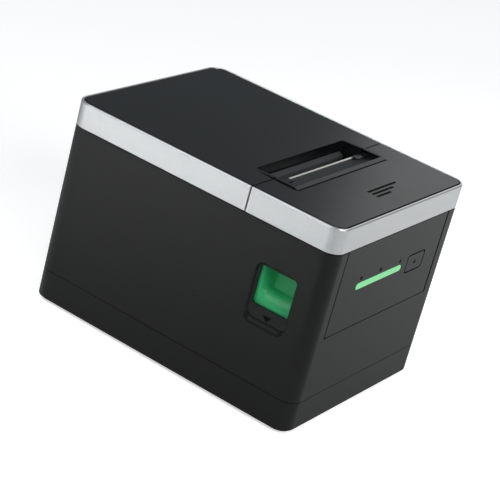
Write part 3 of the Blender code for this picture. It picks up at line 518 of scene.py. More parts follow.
def flipped(shape):
    """A mirror copy on the other side of the case."""
    copy = shape.copy()
    bmesh.ops.scale(copy, vec=(-1, 1, 1), verts=copy.verts)
    bmesh.ops.reverse_faces(copy, faces=copy.faces)
    return copy


def both(shape):
    """A shape and its mirror copy."""
    return [shape, flipped(shape)]


def hold(name, shape):
    """A bmesh as a linked object."""
    mesh = bpy.data.meshes.new(name)
    shape.to_mesh(mesh)
    shape.free()
    made = bpy.data.objects.new(name, mesh)
    bpy.context.scene.collection.objects.link(made)
    return made


def carved(base, joined=(), removed=()):
    """A bmesh with others joined to it and then others cut from it."""
    target = hold("blank", base)
    tools = []
    for operation, shapes in (("UNION", joined), ("DIFFERENCE", removed)):
        for shape in shapes:
            tool = hold("tool", shape)
            step = target.modifiers.new("step", "BOOLEAN")
            step.operation = operation
            step.solver = "EXACT"
            step.object = tool
            tools.append(tool)
    result = bmesh.new()
    result.from_object(target, bpy.context.evaluated_depsgraph_get())
    bmesh.ops.remove_doubles(result, verts=result.verts, dist=SAME)
    for used in [target] + tools:
        bpy.data.objects.remove(used, do_unlink=True)
    open_edges = sum(1 for edge in result.edges if not edge.is_manifold)
    if open_edges or not result.faces:
        raise RuntimeError(f"carving left {open_edges} open edges and {len(result.faces)} faces")
    return result


def merged_copy(node):
    """A CAD node's mesh with its loose triangles merged into whole faces."""
    shape = bmesh.new()
    shape.from_mesh(NODES[node].data)
    bmesh.ops.remove_doubles(shape, verts=shape.verts, dist=SAME)
    bmesh.ops.dissolve_limit(
        shape, angle_limit=math.radians(0.6), use_dissolve_boundaries=False,
        verts=shape.verts, edges=shape.edges,
    )
    return shape


def node_slot(node):
    """The record's material slot of a CAD node."""
    return next(part["material_slot"] for part in frame["record"]["subparts"] if part["node"] == node)


def node_body(node):
    """The body that a CAD node moves with."""
    bodies = frame["record"]["behaviour"]["bodies"]
    return next(body for body, members in bodies.items() if node in members)


def finish_piece(
    name, shape, coat, stands_for=None, body=None, edge=None, segments=3, angle=34
):
    """A bmesh as a finished piece: its coat, its edges rounded by so many millimetres, and its place."""
    made = hold(name, shape)
    made.data.shade_smooth()
    made.data.materials.append(finish(coat))
    width = sizes().small_edge if edge is None else edge * MM
    if width:
        rounding = made.modifiers.new("edges", "BEVEL")
        rounding.width = width
        rounding.segments = segments
        rounding.limit_method = "ANGLE"
        rounding.angle_limit = math.radians(angle)
        rounding.harden_normals = True
        evening = made.modifiers.new("evening", "WEIGHTED_NORMAL")
        evening.keep_sharp = True
    else:
        made.data.set_sharp_from_angle(angle=math.radians(angle))
    if stands_for:
        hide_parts(stands_for)
    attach(made, body or node_body(stands_for))
    return made


def add_piece(name, shape, coat, body="case", edge=0):
    """A finished piece that stands for no CAD node."""
    finish_piece(name, shape, coat, body=body, edge=edge)


def refine(node, edge=0.12, segments=2):
    """A CAD node with its faces merged and its edges softened."""
    finish_piece(f"{node}_finish", merged_copy(node), node_slot(node), node, edge=edge, segments=segments)


# Casing


def recess_tools():
    """The lever's window, and its recess with flared walls that are gentlest below, as cutters."""
    depth, steps = 2 * MM, 10
    wall, low_wall = 1.8 * MM, 6 * MM
    layers = []
    for i in range(-1, steps + 1):
        part = max(0, i) / steps
        sink = depth * (1 - math.cos(part * math.pi)) / 2 - 0.02 * MM if i >= 0 else -1 * MM
        across = (-78 * MM + wall * part, -49 * MM - wall * part)
        upright = (53.5 * MM + low_wall * part, 92.5 * MM - wall * part)
        outline = round_rectangle(across, upright, (5.5 - 1.6 * part) * MM)
        layers.append([(-SIDE + sink, y, z) for y, z in outline])
    recess = lofted(layers)
    window_corner = (-SIDE - 2 * MM, -76 * MM, 66 * MM)
    return [recess, rounded_block(window_corner, mm(-66, -51.5, 90), 0, sizes().window_radius)]


def corner_bosses(low, high):
    """Screw bosses in the four inner corners."""
    shapes = []
    side = 71 * MM
    for end in mm(-91, 91):
        near, far = sorted((math.copysign(80 * MM, end), end))
        boss = block((60 * MM, near, low), (side, far, high))
        corner = runs_along(2, lambda m, end=end: abs(m.x - side) < SAME and abs(m.y - end) < SAME)
        round_edges(boss, 6 * MM, 4, corner)
        shapes += [flipped(boss), boss]
    return shapes


class PRINTER_OT_casing(Operator):
    """Build the case walls, the base tray and the bottom cover"""

    bl_idname = "printer.casing"
    bl_label = "Casing"

    def execute(self, context):
        look = sizes()
        low, high = CASE_LOW.z, CASE_HIGH.z
        backing = block((-SIDE + look.wall / 2, -81 * MM, 50.5 * MM), mm(-69.2, -46, 95.5))
        knuckle = rod(0, HINGE, 1.93 * MM, mm(36, 60), 24)
        left_knuckle = rod(0, HINGE, 1.93 * MM, mm(-60, -36), 24)
        behind, above = HINGE.y - 0.2 * MM, HINGE.z + 1.2 * MM
        notch = self.rear_cut(44 * MM, 52 * MM, 89.5 * MM, HINGE.z - 2.6 * MM)
        between = self.rear_cut(-36 * MM, 36 * MM, behind, above)
        outside = self.rear_cut(60 * MM, SIDE, behind, above)
        edge = self.rear_cut(-SIDE, SIDE, HINGE.y + 1.2 * MM, HINGE.z + MM)
        front_opening = block(
            (PANEL_LOW.x - 0.35 * MM, FRONT - MM, PANEL_LOW.z - 0.35 * MM),
            (PANEL_HIGH.x + 0.35 * MM, FRONT + 5 * MM, TOP),
        )
        bay = block((-58 * MM, REAR - 5 * MM, 0), (58 * MM, REAR + MM, 30.5 * MM))
        inside = column(look.wall, 0, TOP)
        case = carved(column(0, low, high), removed=[inside])
        case = carved(case, joined=[backing] + corner_bosses(low, 40 * MM) + [knuckle, left_knuckle])
        cuts = [front_opening, *both(notch), between, *both(outside), edge, bay]
        case = carved(case, removed=cuts + recess_tools())
        finish_piece("case_walls", case, "case_plastic", "main_case", edge=0.5, segments=4)

        tray = carved(column(0, BASE_LOW.z, SEAM), removed=[column(look.wall, 5 * MM, TOP)])
        posts = [rod(2, mm(x, y, 0), 2.6 * MM, mm(4, 8.7), 24) for x in (-46, 46) for y in (0, 66)]
        spring_post = rod(2, mm(-63, -64, 0), 5 * MM, mm(4, 29.7), 32)
        tray = carved(tray, joined=corner_bosses(4 * MM, SEAM) + posts + [spring_post])
        low_bay = block((-58 * MM, REAR - 5 * MM, 8 * MM), (58 * MM, REAR + MM, TOP))
        wells = [rod(2, (*place, 0), 3.2 * MM, mm(0, 5)) for place in SCREW_PLACES]
        tray = carved(tray, removed=[low_bay] + wells)
        finish_piece("base_tray_shell", tray, "case_plastic", "base_tray", edge=0.5, segments=4)

        plate_low, plate_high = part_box("bottom_cover")
        plate = column(1.5 * MM, plate_low.z, plate_high.z)
        holes = [rod(2, (*place, 0), 3.6 * MM, mm(0, 5)) for place in SCREW_PLACES]
        slots = [
            rounded_block((x * MM, -46 * MM, 0), ((x + 3) * MM, -16 * MM, 5 * MM), 2, 1.4 * MM, 4)
            for x in range(-24, 25, 8)
        ]
        plate = carved(plate, removed=holes + slots)
        finish_piece("bottom_plate", plate, "inner_plastic", "bottom_cover", edge=0.25)
        return {"FINISHED"}

    def rear_cut(self, left, right, front, low):
        """A cutter that clears the top of the rear wall for the hinge."""
        return block((left, front, low), (right, REAR + MM, TOP))


def extra_gap():
    """How much the shown gap between lid and front cover adds at each side to the frame's own."""
    return (sizes().split_gap - (LID_LOW.y - FRONT_HIGH.y)) / 2


def band(front, rear, low, high):
    """A U of band wall, with its upper outer edge rounded."""
    look = sizes()
    outer = column(0, low, high, front, rear)
    cut_end = rear if front == FRONT else front

    def on_top(edge):
        flat = all(vertex.co.z > high - SAME for vertex in edge.verts)
        return flat and not all(abs(vertex.co.y - cut_end) < SAME for vertex in edge.verts)

    round_edges(outer, look.band_fillet, 5, on_top)
    inner_front = front if front == FRONT else front - 5 * MM
    inner_rear = rear if rear == REAR else rear + 5 * MM
    inner = column(look.band_wall, low - 5 * MM, high + 5 * MM, inner_front, inner_rear)
    return carved(outer, removed=[inner])


class PRINTER_OT_bands(Operator):
    """Build the silver bands of the lid and the front cover"""

    bl_idname = "printer.bands"
    bl_label = "Silver bands"

    def execute(self, context):
        front = band(FRONT, FRONT_HIGH.y - extra_gap(), FRONT_LOW.z, TOP)
        finish_piece("front_band_paint", front, "silver_paint", "front_band", edge=0.3, angle=40)
        rear = band(LID_LOW.y + extra_gap(), REAR, LID_LOW.z, TOP)
        finish_piece("lid_band_paint", rear, "silver_paint", "lid_band", edge=0.3, angle=40)
        return {"FINISHED"}


class PRINTER_OT_tops(Operator):
    """Build the black tops on both sides of the paper exit, the guide and the tear bar"""

    bl_idname = "printer.tops"
    bl_label = "Tops and paper exit"

    def execute(self, context):
        look = sizes()
        inset = look.band_wall + look.top_gap
        under = TOP - 2.5 * MM
        self.front_cover(inset, under, FRONT_HIGH.y - extra_gap())
        self.lid_panel(inset, under, LID_LOW.y + extra_gap())
        self.exit_details()
        self.maker_mark()
        return {"FINISHED"}

    def skirt(self, inset, under, start, end):
        """The wall under the right edge of a top."""
        outside = SIDE - inset
        return block((outside - 1.5 * MM, start, 115 * MM), (outside, end, under + MM))

    def front_cover(self, inset, under, rear_end):
        """The front top with its exit ramp, cheeks and raised lip."""
        half, near = EXIT_HALF, EXIT_FRONT
        plate = column(inset, under, TOP, FRONT, rear_end)
        opening = rounded_block((-half, near, under - MM), (half, 0, TOP + 3 * MM), 2, 1.2 * MM, 4)
        plate = carved(plate, removed=[opening])
        floor_end = -35.4 * MM
        ramp = wedge(
            0,
            [(near - MM, 125.2 * MM), (floor_end, 125.2 * MM), (floor_end, 127.2 * MM),
             (near, TOP - 0.5 * MM), (near - MM, TOP)],
            (-half - MM, half + MM),
        )
        cheek = wedge(
            0,
            [(floor_end - 3 * MM, 125.8 * MM), (rear_end, 125.8 * MM), (rear_end, 128.1 * MM),
             (floor_end, 128.2 * MM), (floor_end - 3 * MM, 128.2 * MM)],
            (35.5 * MM, half + MM),
        )
        outer = half + 2.1 * MM
        lip_front = wedge(
            0,
            [(near - 3.1 * MM, TOP - 1.2 * MM), (near, TOP - 1.2 * MM),
             (near, TOP + 0.7 * MM), (near - 0.6 * MM, TOP + 0.8 * MM),
             (near - 3.0 * MM, TOP + 0.15 * MM), (near - 3.1 * MM, TOP)],
            (-outer, outer),
        )
        groove_end = outer + 0.2 * MM
        groove = block(
            (-groove_end, near - 4 * MM, TOP - 0.5 * MM), (groove_end, near - 3.05 * MM, TOP + MM)
        )
        plate = carved(plate, removed=[groove])
        lip_side = wedge(
            0,
            [(near - MM, TOP - MM), (rear_end, TOP - MM),
             (rear_end, TOP + 0.6 * MM), (near - MM, TOP + 0.75 * MM)],
            (half, outer),
        )
        skirt = self.skirt(inset, under, FRONT + 9 * MM, rear_end)
        cover = carved(plate, joined=[ramp, *both(cheek), lip_front, *both(lip_side), *both(skirt)])
        finish_piece("front_top", cover, "top_plastic", "front_cover", edge=0.28, angle=25)

    def lid_panel(self, inset, under, start):
        """The lid's top with the exit's side and rear walls and its tapering rims."""
        half, far = EXIT_HALF, EXIT_REAR
        plate = column(inset, under, TOP, start, REAR)
        wall = 1.5 * MM
        lap = 0.5 * MM
        side = block((half - lap, start, 119 * MM), (half + wall, far + wall, under + MM))
        back = block((-half - wall, far - lap, 119 * MM), (half + wall, far + wall, under + MM))
        skirt = self.skirt(inset, under, start, REAR - 13 * MM)
        rim = wedge(
            0,
            [(start, TOP - MM), (far - MM, TOP - MM),
             (far - MM, TOP + 0.02 * MM), (start, TOP + 0.6 * MM)],
            (half - lap, half + 2.1 * MM),
        )
        opening_corner = (-half, start - 30 * MM, 100 * MM)
        opening = rounded_block(opening_corner, (half, far, TOP + 5 * MM), 2, 1.2 * MM, 4)
        panel = carved(plate, joined=[*both(side), back, *both(skirt), *both(rim)])
        panel = carved(panel, removed=[opening])
        finish_piece("lid_top", panel, "top_plastic", "lid_panel", edge=0.45, segments=4)

    def exit_details(self):
        """The paper guide and the toothed tear bar."""
        refine("paper_guide", edge=0.5, segments=3)
        low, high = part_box("tear_bar")
        crest = high.z - 0.8 * MM
        bar = wedge(
            0,
            [(low.y, low.z), (high.y, low.z), (high.y, crest),
             (high.y - 0.2 * MM, crest), (low.y, crest - 0.3 * MM)],
            (low.x, high.x),
        )
        pitch = 1.5 * MM
        tooth = 0.28 * MM
        count = int((high.x - low.x) / pitch)
        outline = [(high.x + MM, high.y + MM), (high.x + MM, high.y)]
        for i in range(count):
            right = high.x - (i + 0.25) * pitch
            tip = (right - pitch * 0.25, high.y - tooth)
            outline += [(right, high.y), tip, (right - pitch * 0.5, high.y)]
        outline += [(low.x - MM, high.y), (low.x - MM, high.y + MM)]
        notches = wedge(2, outline, (crest - 2 * MM, crest + MM))
        finish_piece("tear_bar_teeth", carved(bar, removed=[notches]), "blade_steel", "tear_bar", edge=0)

    def maker_mark(self):
        """A plain mark of three bars, printed in front of the exit."""
        bars = []
        thick = 0.8 * MM
        for i, width in enumerate(mm(32, 24, 16)):
            y = -71.5 * MM - i * 3.2 * MM
            low = (-8 * MM, y - thick, TOP - 0.2 * MM)
            high = (-8 * MM + width, y + thick, TOP + 0.06 * MM)
            bars.append(rounded_block(low, high, 2, 0.75 * MM, 4))
        add_piece("plain_mark", carved(bars[0], joined=bars[1:]), "mark_print")


class PRINTER_OT_control_panel(Operator):
    """Build the front panel, its light bar, button and plain symbols"""

    bl_idname = "printer.control_panel"
    bl_label = "Control panel"

    def execute(self, context):
        light_low, light_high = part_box("status_light_bar")
        button_low, button_high = Vector(mm(20.9, 0, 80.9)), Vector(mm(41.8, 0, 93.1))
        ease, setback = Vector(mm(0.8, 0, 0)), Vector(mm(0, 0.15, 0))
        face_back = Vector((PANEL_HIGH.x, FRONT + 2.2 * MM, PANEL_HIGH.z))
        plate = rounded_block(PANEL_LOW + ease + setback, face_back - ease, 1, 0.8 * MM, 4)
        flange_front = Vector((PANEL_LOW.x, FRONT + 1.95 * MM, PANEL_LOW.z))
        plate = carved(plate, joined=[block(flange_front, PANEL_HIGH)])
        light_hole = self.hole(light_low, light_high, 0.25 * MM, 2.1 * MM)
        button_hole = self.hole(button_low, button_high, 0, 2.4 * MM)
        panel = carved(plate, removed=[light_hole, button_hole])
        finish_piece("front_panel", panel, "case_plastic", "control_panel", edge=0.5)
        bar = rounded_block(light_low, light_high, 1, 1.95 * MM, 8)
        finish_piece("light_bar", bar, "light_green", "status_light_bar", edge=0.4)

        cap_low, cap_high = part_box("feed_button")
        margin = 0.8 * MM
        cap = rounded_block(
            (button_low.x + margin, cap_low.y + setback.y, button_low.z + margin),
            (button_high.x - margin, -91.6 * MM, button_high.z - margin), 1, 1.9 * MM, 8,
        )
        flange = block((cap_low.x, -92.2 * MM, cap_low.z), (cap_high.x, -91.4 * MM, cap_high.z))
        stem = rod(1, mm(31.5, 0, 87), 1.6 * MM, mm(-92, -91.15), 24)
        cap = carved(cap, joined=[flange, stem])
        finish_piece("feed_button_cap", cap, "case_plastic", "feed_button", segments=4)
        self.symbols()
        return {"FINISHED"}

    def hole(self, low, high, margin, radius):
        """A cutter through the panel, wider than a box by a margin."""
        near = (low.x - margin, FRONT - 2 * MM, low.z - margin)
        far = (high.x + margin, FRONT + 5 * MM, high.z + margin)
        return rounded_block(near, far, 1, radius, 8)

    def symbols(self):
        """Plain shapes over the light, a triangle on the button and one under the lever."""
        face = FRONT + 0.1 * MM
        sunk = FRONT + 0.4 * MM
        z = 92.2 * MM
        disc = rod(1, (-33.5 * MM, 0, z), 1.25 * MM, (face, sunk), 24)
        foot = z - 1.1 * MM
        square = rounded_block((-12.7 * MM, face, foot), (-10.3 * MM, sunk, z + 1.1 * MM), 1, 0.3 * MM, 4)
        tri = wedge(1, [(10 * MM, foot), (12.8 * MM, foot), (11.4 * MM, z + 1.3 * MM)], (face, sunk))
        for name, shape in (("symbol_dot", disc), ("symbol_square", square), ("symbol_triangle", tri)):
            add_piece(name, shape, "mark_print")
        arrow = wedge(1, [mm(29.8, 86), mm(32.9, 86), mm(31.35, 88.6)], (face, sunk))
        add_piece("button_triangle", arrow, "mark_print", body="button")
        floor = -SIDE + 2 * MM
        down = wedge(
            0, [mm(-66.6, 62.2), mm(-60.6, 62.2), mm(-63.6, 58.6)], (floor - 0.05 * MM, floor + 0.3 * MM)
        )
        add_piece("lever_triangle", down, "mark_print")


class PRINTER_OT_lever(Operator):
    """Build the green finger lever with its scooped pad, and its hooks, shaft and spring"""

    bl_idname = "printer.lever"
    bl_label = "Release lever"

    def execute(self, context):
        face = LEVER_LOW.x
        low = Vector((face, -79 * MM, 62 * MM))
        high = Vector(mm(-57.5, -48.5, 96))
        steps = 120
        pad = bmesh.new()
        bmesh.ops.create_grid(pad, x_segments=steps, y_segments=steps, size=0.5)
        for vertex in pad.verts:
            y = low.y + (vertex.co.x + 0.5) * (high.y - low.y)
            z = low.z + (vertex.co.y + 0.5) * (high.z - low.z)
            vertex.co = (face + self.depth(y, z), y, z)
        grown = bmesh.ops.extrude_face_region(pad, geom=list(pad.faces))["geom"]
        for part in grown:
            if isinstance(part, bmesh.types.BMVert):
                part.co.x = high.x
        bmesh.ops.recalc_face_normals(pad, faces=pad.faces)
        arm = wedge(0, [mm(-52, 70), mm(-40, 71), mm(-40, 81), mm(-52, 86)], mm(-62, -57.6))
        hub = rod(0, LEVER_AXIS, 5.5 * MM, mm(-61.9, -50), 40)
        lever = carved(pad, joined=[carved(arm, joined=[hub])])
        made = finish_piece("finger_lever", lever, "green_plastic", "release_lever", edge=0)
        made.data.set_sharp_from_angle(angle=math.radians(50))
        for node in ("latch_hook_left", "latch_hook_right"):
            refine(node, edge=0.2)
        shaft = shaft_in("lever_shaft", LEVER_AXIS, 2.5 * MM, 40)
        finish_piece("lever_shaft_round", shaft, "steel", "lever_shaft", edge=0.4)
        spring = coil("lever_spring_wire", "lever_spring", 2, 4 * MM, 7)
        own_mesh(spring)
        return {"FINISHED"}

    def depth(self, y, z):
        """How far the pad's face sinks at a point: a ledge that rounds over into a finger pocket."""
        rear, front = -51.7 * MM, -75.8 * MM
        low, high = 66.2 * MM, 89.9 * MM
        if not (front < y < rear and low < z < high):
            return 0.0
        across = (2 * y - rear - front) / (rear - front)
        crease = 75.2 * MM + 0.9 * MM * across * across
        climb = min(1.0, (z - low) / (crease - low))
        arc = 0.97
        rounding = 1 - math.sqrt(1 - (arc * climb) ** 2)
        pocket = 8.2 * MM * rounding / (1 - math.sqrt(1 - arc ** 2))
        rise = max(0.0, (z - crease) / (high - crease))
        back = 0.7 * MM * math.sin(rise * math.pi)
        from_rear = min(1.0, max(0.0, rear - 0.8 * MM - y) / (5.5 * MM))
        from_front = min(1.0, (y - front) / (1.2 * MM))
        from_top = min(1.0, (high - z) / (0.8 * MM))
        sides = (1 - math.cos(from_rear * math.pi)) / 2 * math.sin(from_front * math.pi / 2)
        return (pocket + back) * sides * math.sin(from_top * math.pi / 2)


def coil(name, node, axis, radius, turns):
    """A round-wire spring in the box of its CAD node."""
    wire = 0.8 * MM
    low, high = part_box(node)
    centre = (low + high) / 2
    curve = bpy.data.curves.new(name, "CURVE")
    curve.dimensions = "3D"
    curve.bevel_depth = wire / 2
    curve.bevel_resolution = 4
    curve.use_fill_caps = True
    line = curve.splines.new("POLY")
    per_turn = 28
    count = turns * per_turn + 1
    line.points.add(count - 1)
    start, length = low[axis] + wire / 2, high[axis] - low[axis] - wire
    for i in range(count):
        angle = 2 * math.pi * i / per_turn
        along = start + length * i / (count - 1)
        u, v = radius * math.cos(angle), radius * math.sin(angle)
        spot = (centre.x + u, along, centre.z + v) if axis == 1 else (centre.x + u, centre.y + v, along)
        line.points[i].co = (*spot, 1)
    holder = bpy.data.objects.new(name, curve)
    bpy.context.scene.collection.objects.link(holder)
    mesh = bpy.data.meshes.new_from_object(holder.evaluated_get(bpy.context.evaluated_depsgraph_get()))
    bpy.data.objects.remove(holder, do_unlink=True)
    shape = bmesh.new()
    shape.from_mesh(mesh)
    bmesh.ops.remove_doubles(shape, verts=shape.verts, dist=SAME)
    return finish_piece(name, shape, "steel", node, edge=0, angle=60)


class PRINTER_OT_paper_drive(Operator):
    """Build the platen, its gears, the print head and the feed motor"""

    bl_idname = "printer.paper_drive"
    bl_label = "Paper drive"

    def execute(self, context):
        roller = shaft_in("platen_roller", PLATEN, 7 * MM, 96)
        finish_piece("platen_rubber", roller, "rubber", "platen_roller", edge=0.5)
        shaft = shaft_in("platen_shaft", PLATEN, 2.5 * MM, 48)
        finish_piece("platen_shaft_round", shaft, "steel", "platen_shaft", edge=0.4)
        for node in ("platen_bush_left", "platen_bush_right"):
            low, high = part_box(node)
            bore = rod(0, PLATEN, 2.6 * MM, (low.x - MM, high.x + MM), 48)
            bush = carved(shaft_in(node, PLATEN, 4 * MM, 48), removed=[bore])
            finish_piece(f"{node}_ring", bush, "nylon", node, edge=0.3)
        for node in ("platen_gear", "idler_gear", "feed_pinion", "cutter_pinion"):
            refine(node)
        for node in ("idler_stud", "head_pivot_pin", "hinge_pin_left", "hinge_pin_right"):
            low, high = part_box(node)
            pin = shaft_in(node, (low + high) / 2, (high.z - low.z) / 2)
            finish_piece(f"{node}_round", pin, "steel", node, edge=0.2)
        for node, width in (("feed_motor", 0.3), ("head_heat_sink", 0.2), ("heater_strip", 0.1)):
            refine(node, edge=width)
        spring = coil("head_spring_wire", "head_spring", 1, 2.6 * MM, 5)
        low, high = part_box("head_spring")
        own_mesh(spring)
        return {"FINISHED"}


class PRINTER_OT_inside(Operator):
    """Finish the mechanism plates, cutter, bucket, lid frame and electronics"""

    bl_idname = "printer.inside"
    bl_label = "Inside"

    def execute(self, context):
        softened = {
            "mechanism_plate_left": 0.15, "mechanism_plate_right": 0.15, "mechanism_crossplate": 0.15,
            "cutter_frame": 0.4, "cutter_motor": 0.4, "moving_blade": 0.08, "fixed_blade": 0.12,
            "paper_bucket": 0.4, "paper_sensor": 0.3, "lid_frame": 0.3, "rear_panel": 0.2,
            "switch_housing": 0.4, "power_rocker": 0.35, "control_board": 0.12, "main_board": 0.12,
        }
        for node, width in softened.items():
            refine(node, edge=width)
        self.round_inlet()
        self.usb()
        self.line_socket("network_socket", 8, 1.02 * MM)
        self.line_socket("drawer_socket", 6, 1.1 * MM)
        return {"FINISHED"}

    def socket_mouth(self, node):
        """The middle of a socket's mouth, and the y of the floor behind it."""
        low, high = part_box(node)
        return Vector(((low.x + high.x) / 2, high.y, (low.z + high.z) / 2)), high.y - SOCKET_DEPTH

    def round_inlet(self):
        """The round inlet with its insulator and three pins."""
        refine("power_inlet", edge=0.3)
        mouth, back = self.socket_mouth("power_inlet")
        insulator = rod(1, (mouth.x, 0, mouth.z), 4.1 * MM, (back + 0.3 * MM, back + 4 * MM), 40)
        add_piece("inlet_insulator", insulator, "socket_black", edge=0.3)
        for i in range(3):
            turn = math.radians(90 + 120 * i)
            centre = (mouth.x + 2.1 * MM * math.cos(turn), 0, mouth.z + 2.1 * MM * math.sin(turn))
            pin = rod(1, centre, 0.6 * MM, (back + 3.5 * MM, mouth.y - 1.6 * MM), 20)
            add_piece(f"inlet_pin_{i + 1}", pin, "brass", edge=0.2)

    def usb(self):
        """The square socket with its tongue and four contacts."""
        refine("usb_socket", edge=0.25)
        mouth, back = self.socket_mouth("usb_socket")
        tongue = rounded_block(
            (mouth.x - 2.8 * MM, back + 0.2 * MM, mouth.z - 1.6 * MM),
            (mouth.x + 2.8 * MM, mouth.y - 1.2 * MM, mouth.z + 1.6 * MM), 1, 0.5 * MM, 4,
        )
        add_piece("usb_tongue", tongue, "nylon", edge=0.15)
        for i, (side, level) in enumerate(((-1, 1), (1, 1), (-1, -1), (1, -1))):
            x, z = mouth.x + side * 1.3 * MM, mouth.z + level * 1.62 * MM
            width, thick = mm(0.55, 0.12)
            strip = block((x - width, back + MM, z - thick), (x + width, mouth.y - 2 * MM, z + thick))
            add_piece(f"usb_contact_{i + 1}", strip, "brass", edge=0.05)

    def line_socket(self, node, count, pitch):
        """A line socket with a stepped latch slot below and a row of sprung wires."""
        mouth, back = self.socket_mouth(node)
        low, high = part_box(node)
        floor = low.z + 2.4 * MM
        slots = [
            block((mouth.x - half, back + 2 * MM, low.z + rise), (mouth.x + half, mouth.y + MM, mouth.z))
            for half, rise in (mm(3, 1.7), mm(1.7, 0.9))
        ]
        shell = carved(merged_copy(node), removed=slots)
        finish_piece(f"{node}_shell", shell, node_slot(node), node, edge=0.2)
        top = high.z - 2.7 * MM
        for i in range(count):
            x = mouth.x + (i - (count - 1) / 2) * pitch
            wire = wedge(
                0,
                [(mouth.y - 1.5 * MM, top), (mouth.y - 1.5 * MM, top - 0.35 * MM),
                 (back + 1.2 * MM, floor + 2.6 * MM), (back + 1.2 * MM, floor + 3 * MM)],
                (x - 0.2 * MM, x + 0.2 * MM),
            )
            add_piece(f"{node}_wire_{i + 1}", wire, "brass", edge=0.04)


class PRINTER_OT_underside(Operator):
    """Build the feet and the case screws"""

    bl_idname = "printer.underside"
    bl_label = "Feet and screws"

    def execute(self, context):
        for node in NODES:
            low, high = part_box(node)
            centre = (low + high) / 2
            if node.startswith("foot_"):
                foot = rod(2, centre, (high.x - low.x) / 2, (low.z, high.z), 64)
                finish_piece(f"{node}_pad", foot, "rubber", node, edge=0.25)
            if node.startswith("case_screw_"):
                self.screw(node, centre, low, high)
        return {"FINISHED"}

    def screw(self, node, centre, low, high):
        """A pan-head screw with a cross recess."""
        head = rod(2, centre, 2.8 * MM, (low.z, low.z + 1.8 * MM), 40)
        shank = rod(2, centre, 1.35 * MM, (low.z + MM, high.z), 24)
        cross = [
            block((centre.x - x, centre.y - y, low.z - MM), (centre.x + x, centre.y + y, low.z + MM))
            for x, y in (mm(1.6, 0.35), mm(0.35, 1.6))
        ]
        screw = carved(head, joined=[shank], removed=cross)
        finish_piece(f"{node}_cross", screw, "zinc_steel", node, edge=0.2)


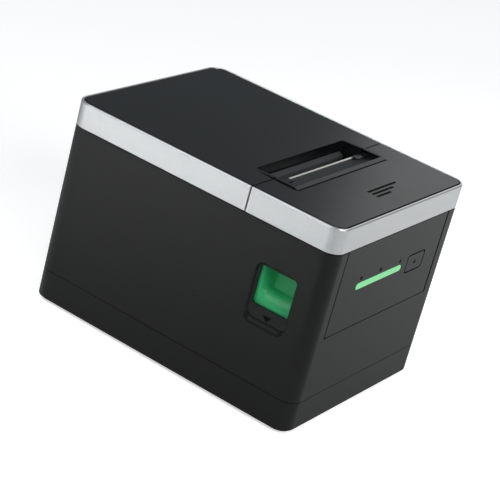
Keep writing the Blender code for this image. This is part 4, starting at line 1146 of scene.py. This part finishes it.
class PRINTER_OT_stage(Operator):
    """Set the floor, soft lights and camera"""

    bl_idname = "printer.stage"
    bl_label = "Stage"

    def execute(self, context):
        scene = context.scene
        floor_shape = bmesh.new()
        bmesh.ops.create_grid(floor_shape, x_segments=2, y_segments=2, size=3.0)
        floor = hold("studio_floor", floor_shape)
        floor.data.materials.append(self.floor_finish())
        self.camera(scene)
        self.world(scene)
        self.softbox("front_left", (-0.35, -1.1, 0.9), (0, 0, 0.05), 0.6, 10.7)
        self.softbox("rear_left", (-0.6, 0.4, 0.75), (-0.2, 0.1, 0), 0.5, 1.5)
        self.softbox("left", (-1.1, 0.2, 0.8), (0, 0, 0.05), 0.6, 0.9)
        self.softbox("right", (1.09, 0.21, 0.6), (0, 0, 0.13), 0.5, 0.55)
        self.softbox("left_floor", (-0.5, 0.3, 0.7), (-0.4, 0.25, 0), 0.25, 0.95, 60)
        self.softbox("right_floor", (0.5, -0.4, 0.8), (0.35, -0.28, 0), 0.3, 0.56, 60)
        scene.view_settings.view_transform = "Standard"
        return {"FINISHED"}

    def floor_finish(self):
        """Pale card, lifted a little where the camera looks at it directly."""
        made = finish("studio_floor")
        tree = made.node_tree
        lifted = tree.nodes.new("ShaderNodeBsdfPrincipled")
        lifted.inputs["Base Color"].default_value = (*colours().floor, 1)
        lifted.inputs["Roughness"].default_value = 0.9
        lifted.inputs["Emission Color"].default_value = (1, 1, 1, 1)
        lifted.inputs["Emission Strength"].default_value = 0.6
        self.show_camera(tree, tree.nodes["Principled BSDF"], lifted, tree.nodes["Material Output"])
        return made

    def show_camera(self, tree, usual, direct, output):
        """Give the camera's own rays one shader and all other rays another."""
        path = tree.nodes.new("ShaderNodeLightPath")
        mix = tree.nodes.new("ShaderNodeMixShader")
        tree.links.new(path.outputs["Is Camera Ray"], mix.inputs[0])
        tree.links.new(usual.outputs[0], mix.inputs[1])
        tree.links.new(direct.outputs[0], mix.inputs[2])
        tree.links.new(mix.outputs[0], output.inputs["Surface"])

    def camera(self, scene):
        """A long lens from the front left, held at a slant."""
        azimuth, elevation, roll = -61.435, 23.514, 15.273
        turn = Matrix.Identity(3)
        for angle, axis in ((azimuth, "Z"), (90 - elevation, "X"), (roll, "Z")):
            turn = turn @ Matrix.Rotation(math.radians(angle), 3, axis)
        aim, offset = Vector(mm(0, 0, 66.29)), Vector(mm(1.02, -7.82, 1105.4))
        data = bpy.data.cameras.new("camera")
        data.lens = 132.15
        data.sensor_width = 36
        data.clip_start = 0.05
        camera = bpy.data.objects.new("camera", data)
        scene.collection.objects.link(camera)
        camera.matrix_world = Matrix.Translation(aim + turn @ offset) @ turn.to_4x4()
        scene.camera = camera

    def world(self, scene):
        """Even studio light, seen as white by the camera."""
        world = bpy.data.worlds.new("studio")
        world.use_nodes = True
        tree = world.node_tree
        glow = tree.nodes["Background"]
        glow.inputs["Color"].default_value = (0.9, 1.0, 1.04, 1)
        glow.inputs["Strength"].default_value = 0.19
        white = tree.nodes.new("ShaderNodeBackground")
        white.inputs["Color"].default_value = (1, 1, 1, 1)
        white.inputs["Strength"].default_value = 1.0
        self.show_camera(tree, glow, white, tree.nodes["World Output"])
        scene.world = world

    def softbox(self, name, place, aim, size, power, spread=180):
        """A square area light with an aim and a spread in degrees."""
        data = bpy.data.lights.new(name, "AREA")
        data.size = size
        data.energy = power
        data.spread = math.radians(spread)
        lamp = bpy.data.objects.new(name, data)
        bpy.context.scene.collection.objects.link(lamp)
        turn = (Vector(place) - Vector(aim)).to_track_quat("Z", "Y").to_matrix().to_4x4()
        lamp.matrix_world = Matrix.Translation(place) @ turn


class PRINTER_PT_panel(Panel):
    """Lists the steps in the sidebar"""

    bl_label = "Receipt Printer"
    bl_idname = "PRINTER_PT_panel"
    bl_space_type = "VIEW_3D"
    bl_region_type = "UI"
    bl_category = "Printer"

    def draw(self, context):
        for step in STEPS:
            self.layout.operator(step.bl_idname)
        for group_name in ("printer_sizes", "printer_colours"):
            settings = getattr(context.scene, group_name)
            for label in settings.__annotations__:
                self.layout.prop(settings, label)


STEPS = (
    PRINTER_OT_casing,
    PRINTER_OT_bands,
    PRINTER_OT_tops,
    PRINTER_OT_control_panel,
    PRINTER_OT_lever,
    PRINTER_OT_paper_drive,
    PRINTER_OT_inside,
    PRINTER_OT_underside,
    PRINTER_OT_stage,
)
CLASSES = (PrinterSizes, PrinterColours) + STEPS + (PRINTER_PT_panel,)


def register():
    for cls in CLASSES:
        bpy.utils.register_class(cls)
    bpy.types.Scene.printer_sizes = PointerProperty(type=PrinterSizes)
    bpy.types.Scene.printer_colours = PointerProperty(type=PrinterColours)


def unregister():
    del bpy.types.Scene.printer_colours
    del bpy.types.Scene.printer_sizes
    for cls in reversed(CLASSES):
        bpy.utils.unregister_class(cls)


def main():
    """Build every piece in order."""
    register()
    for step in STEPS:
        category, name = step.bl_idname.split(".")
        getattr(getattr(bpy.ops, category), name)()


if __name__ == "__main__":
    main()
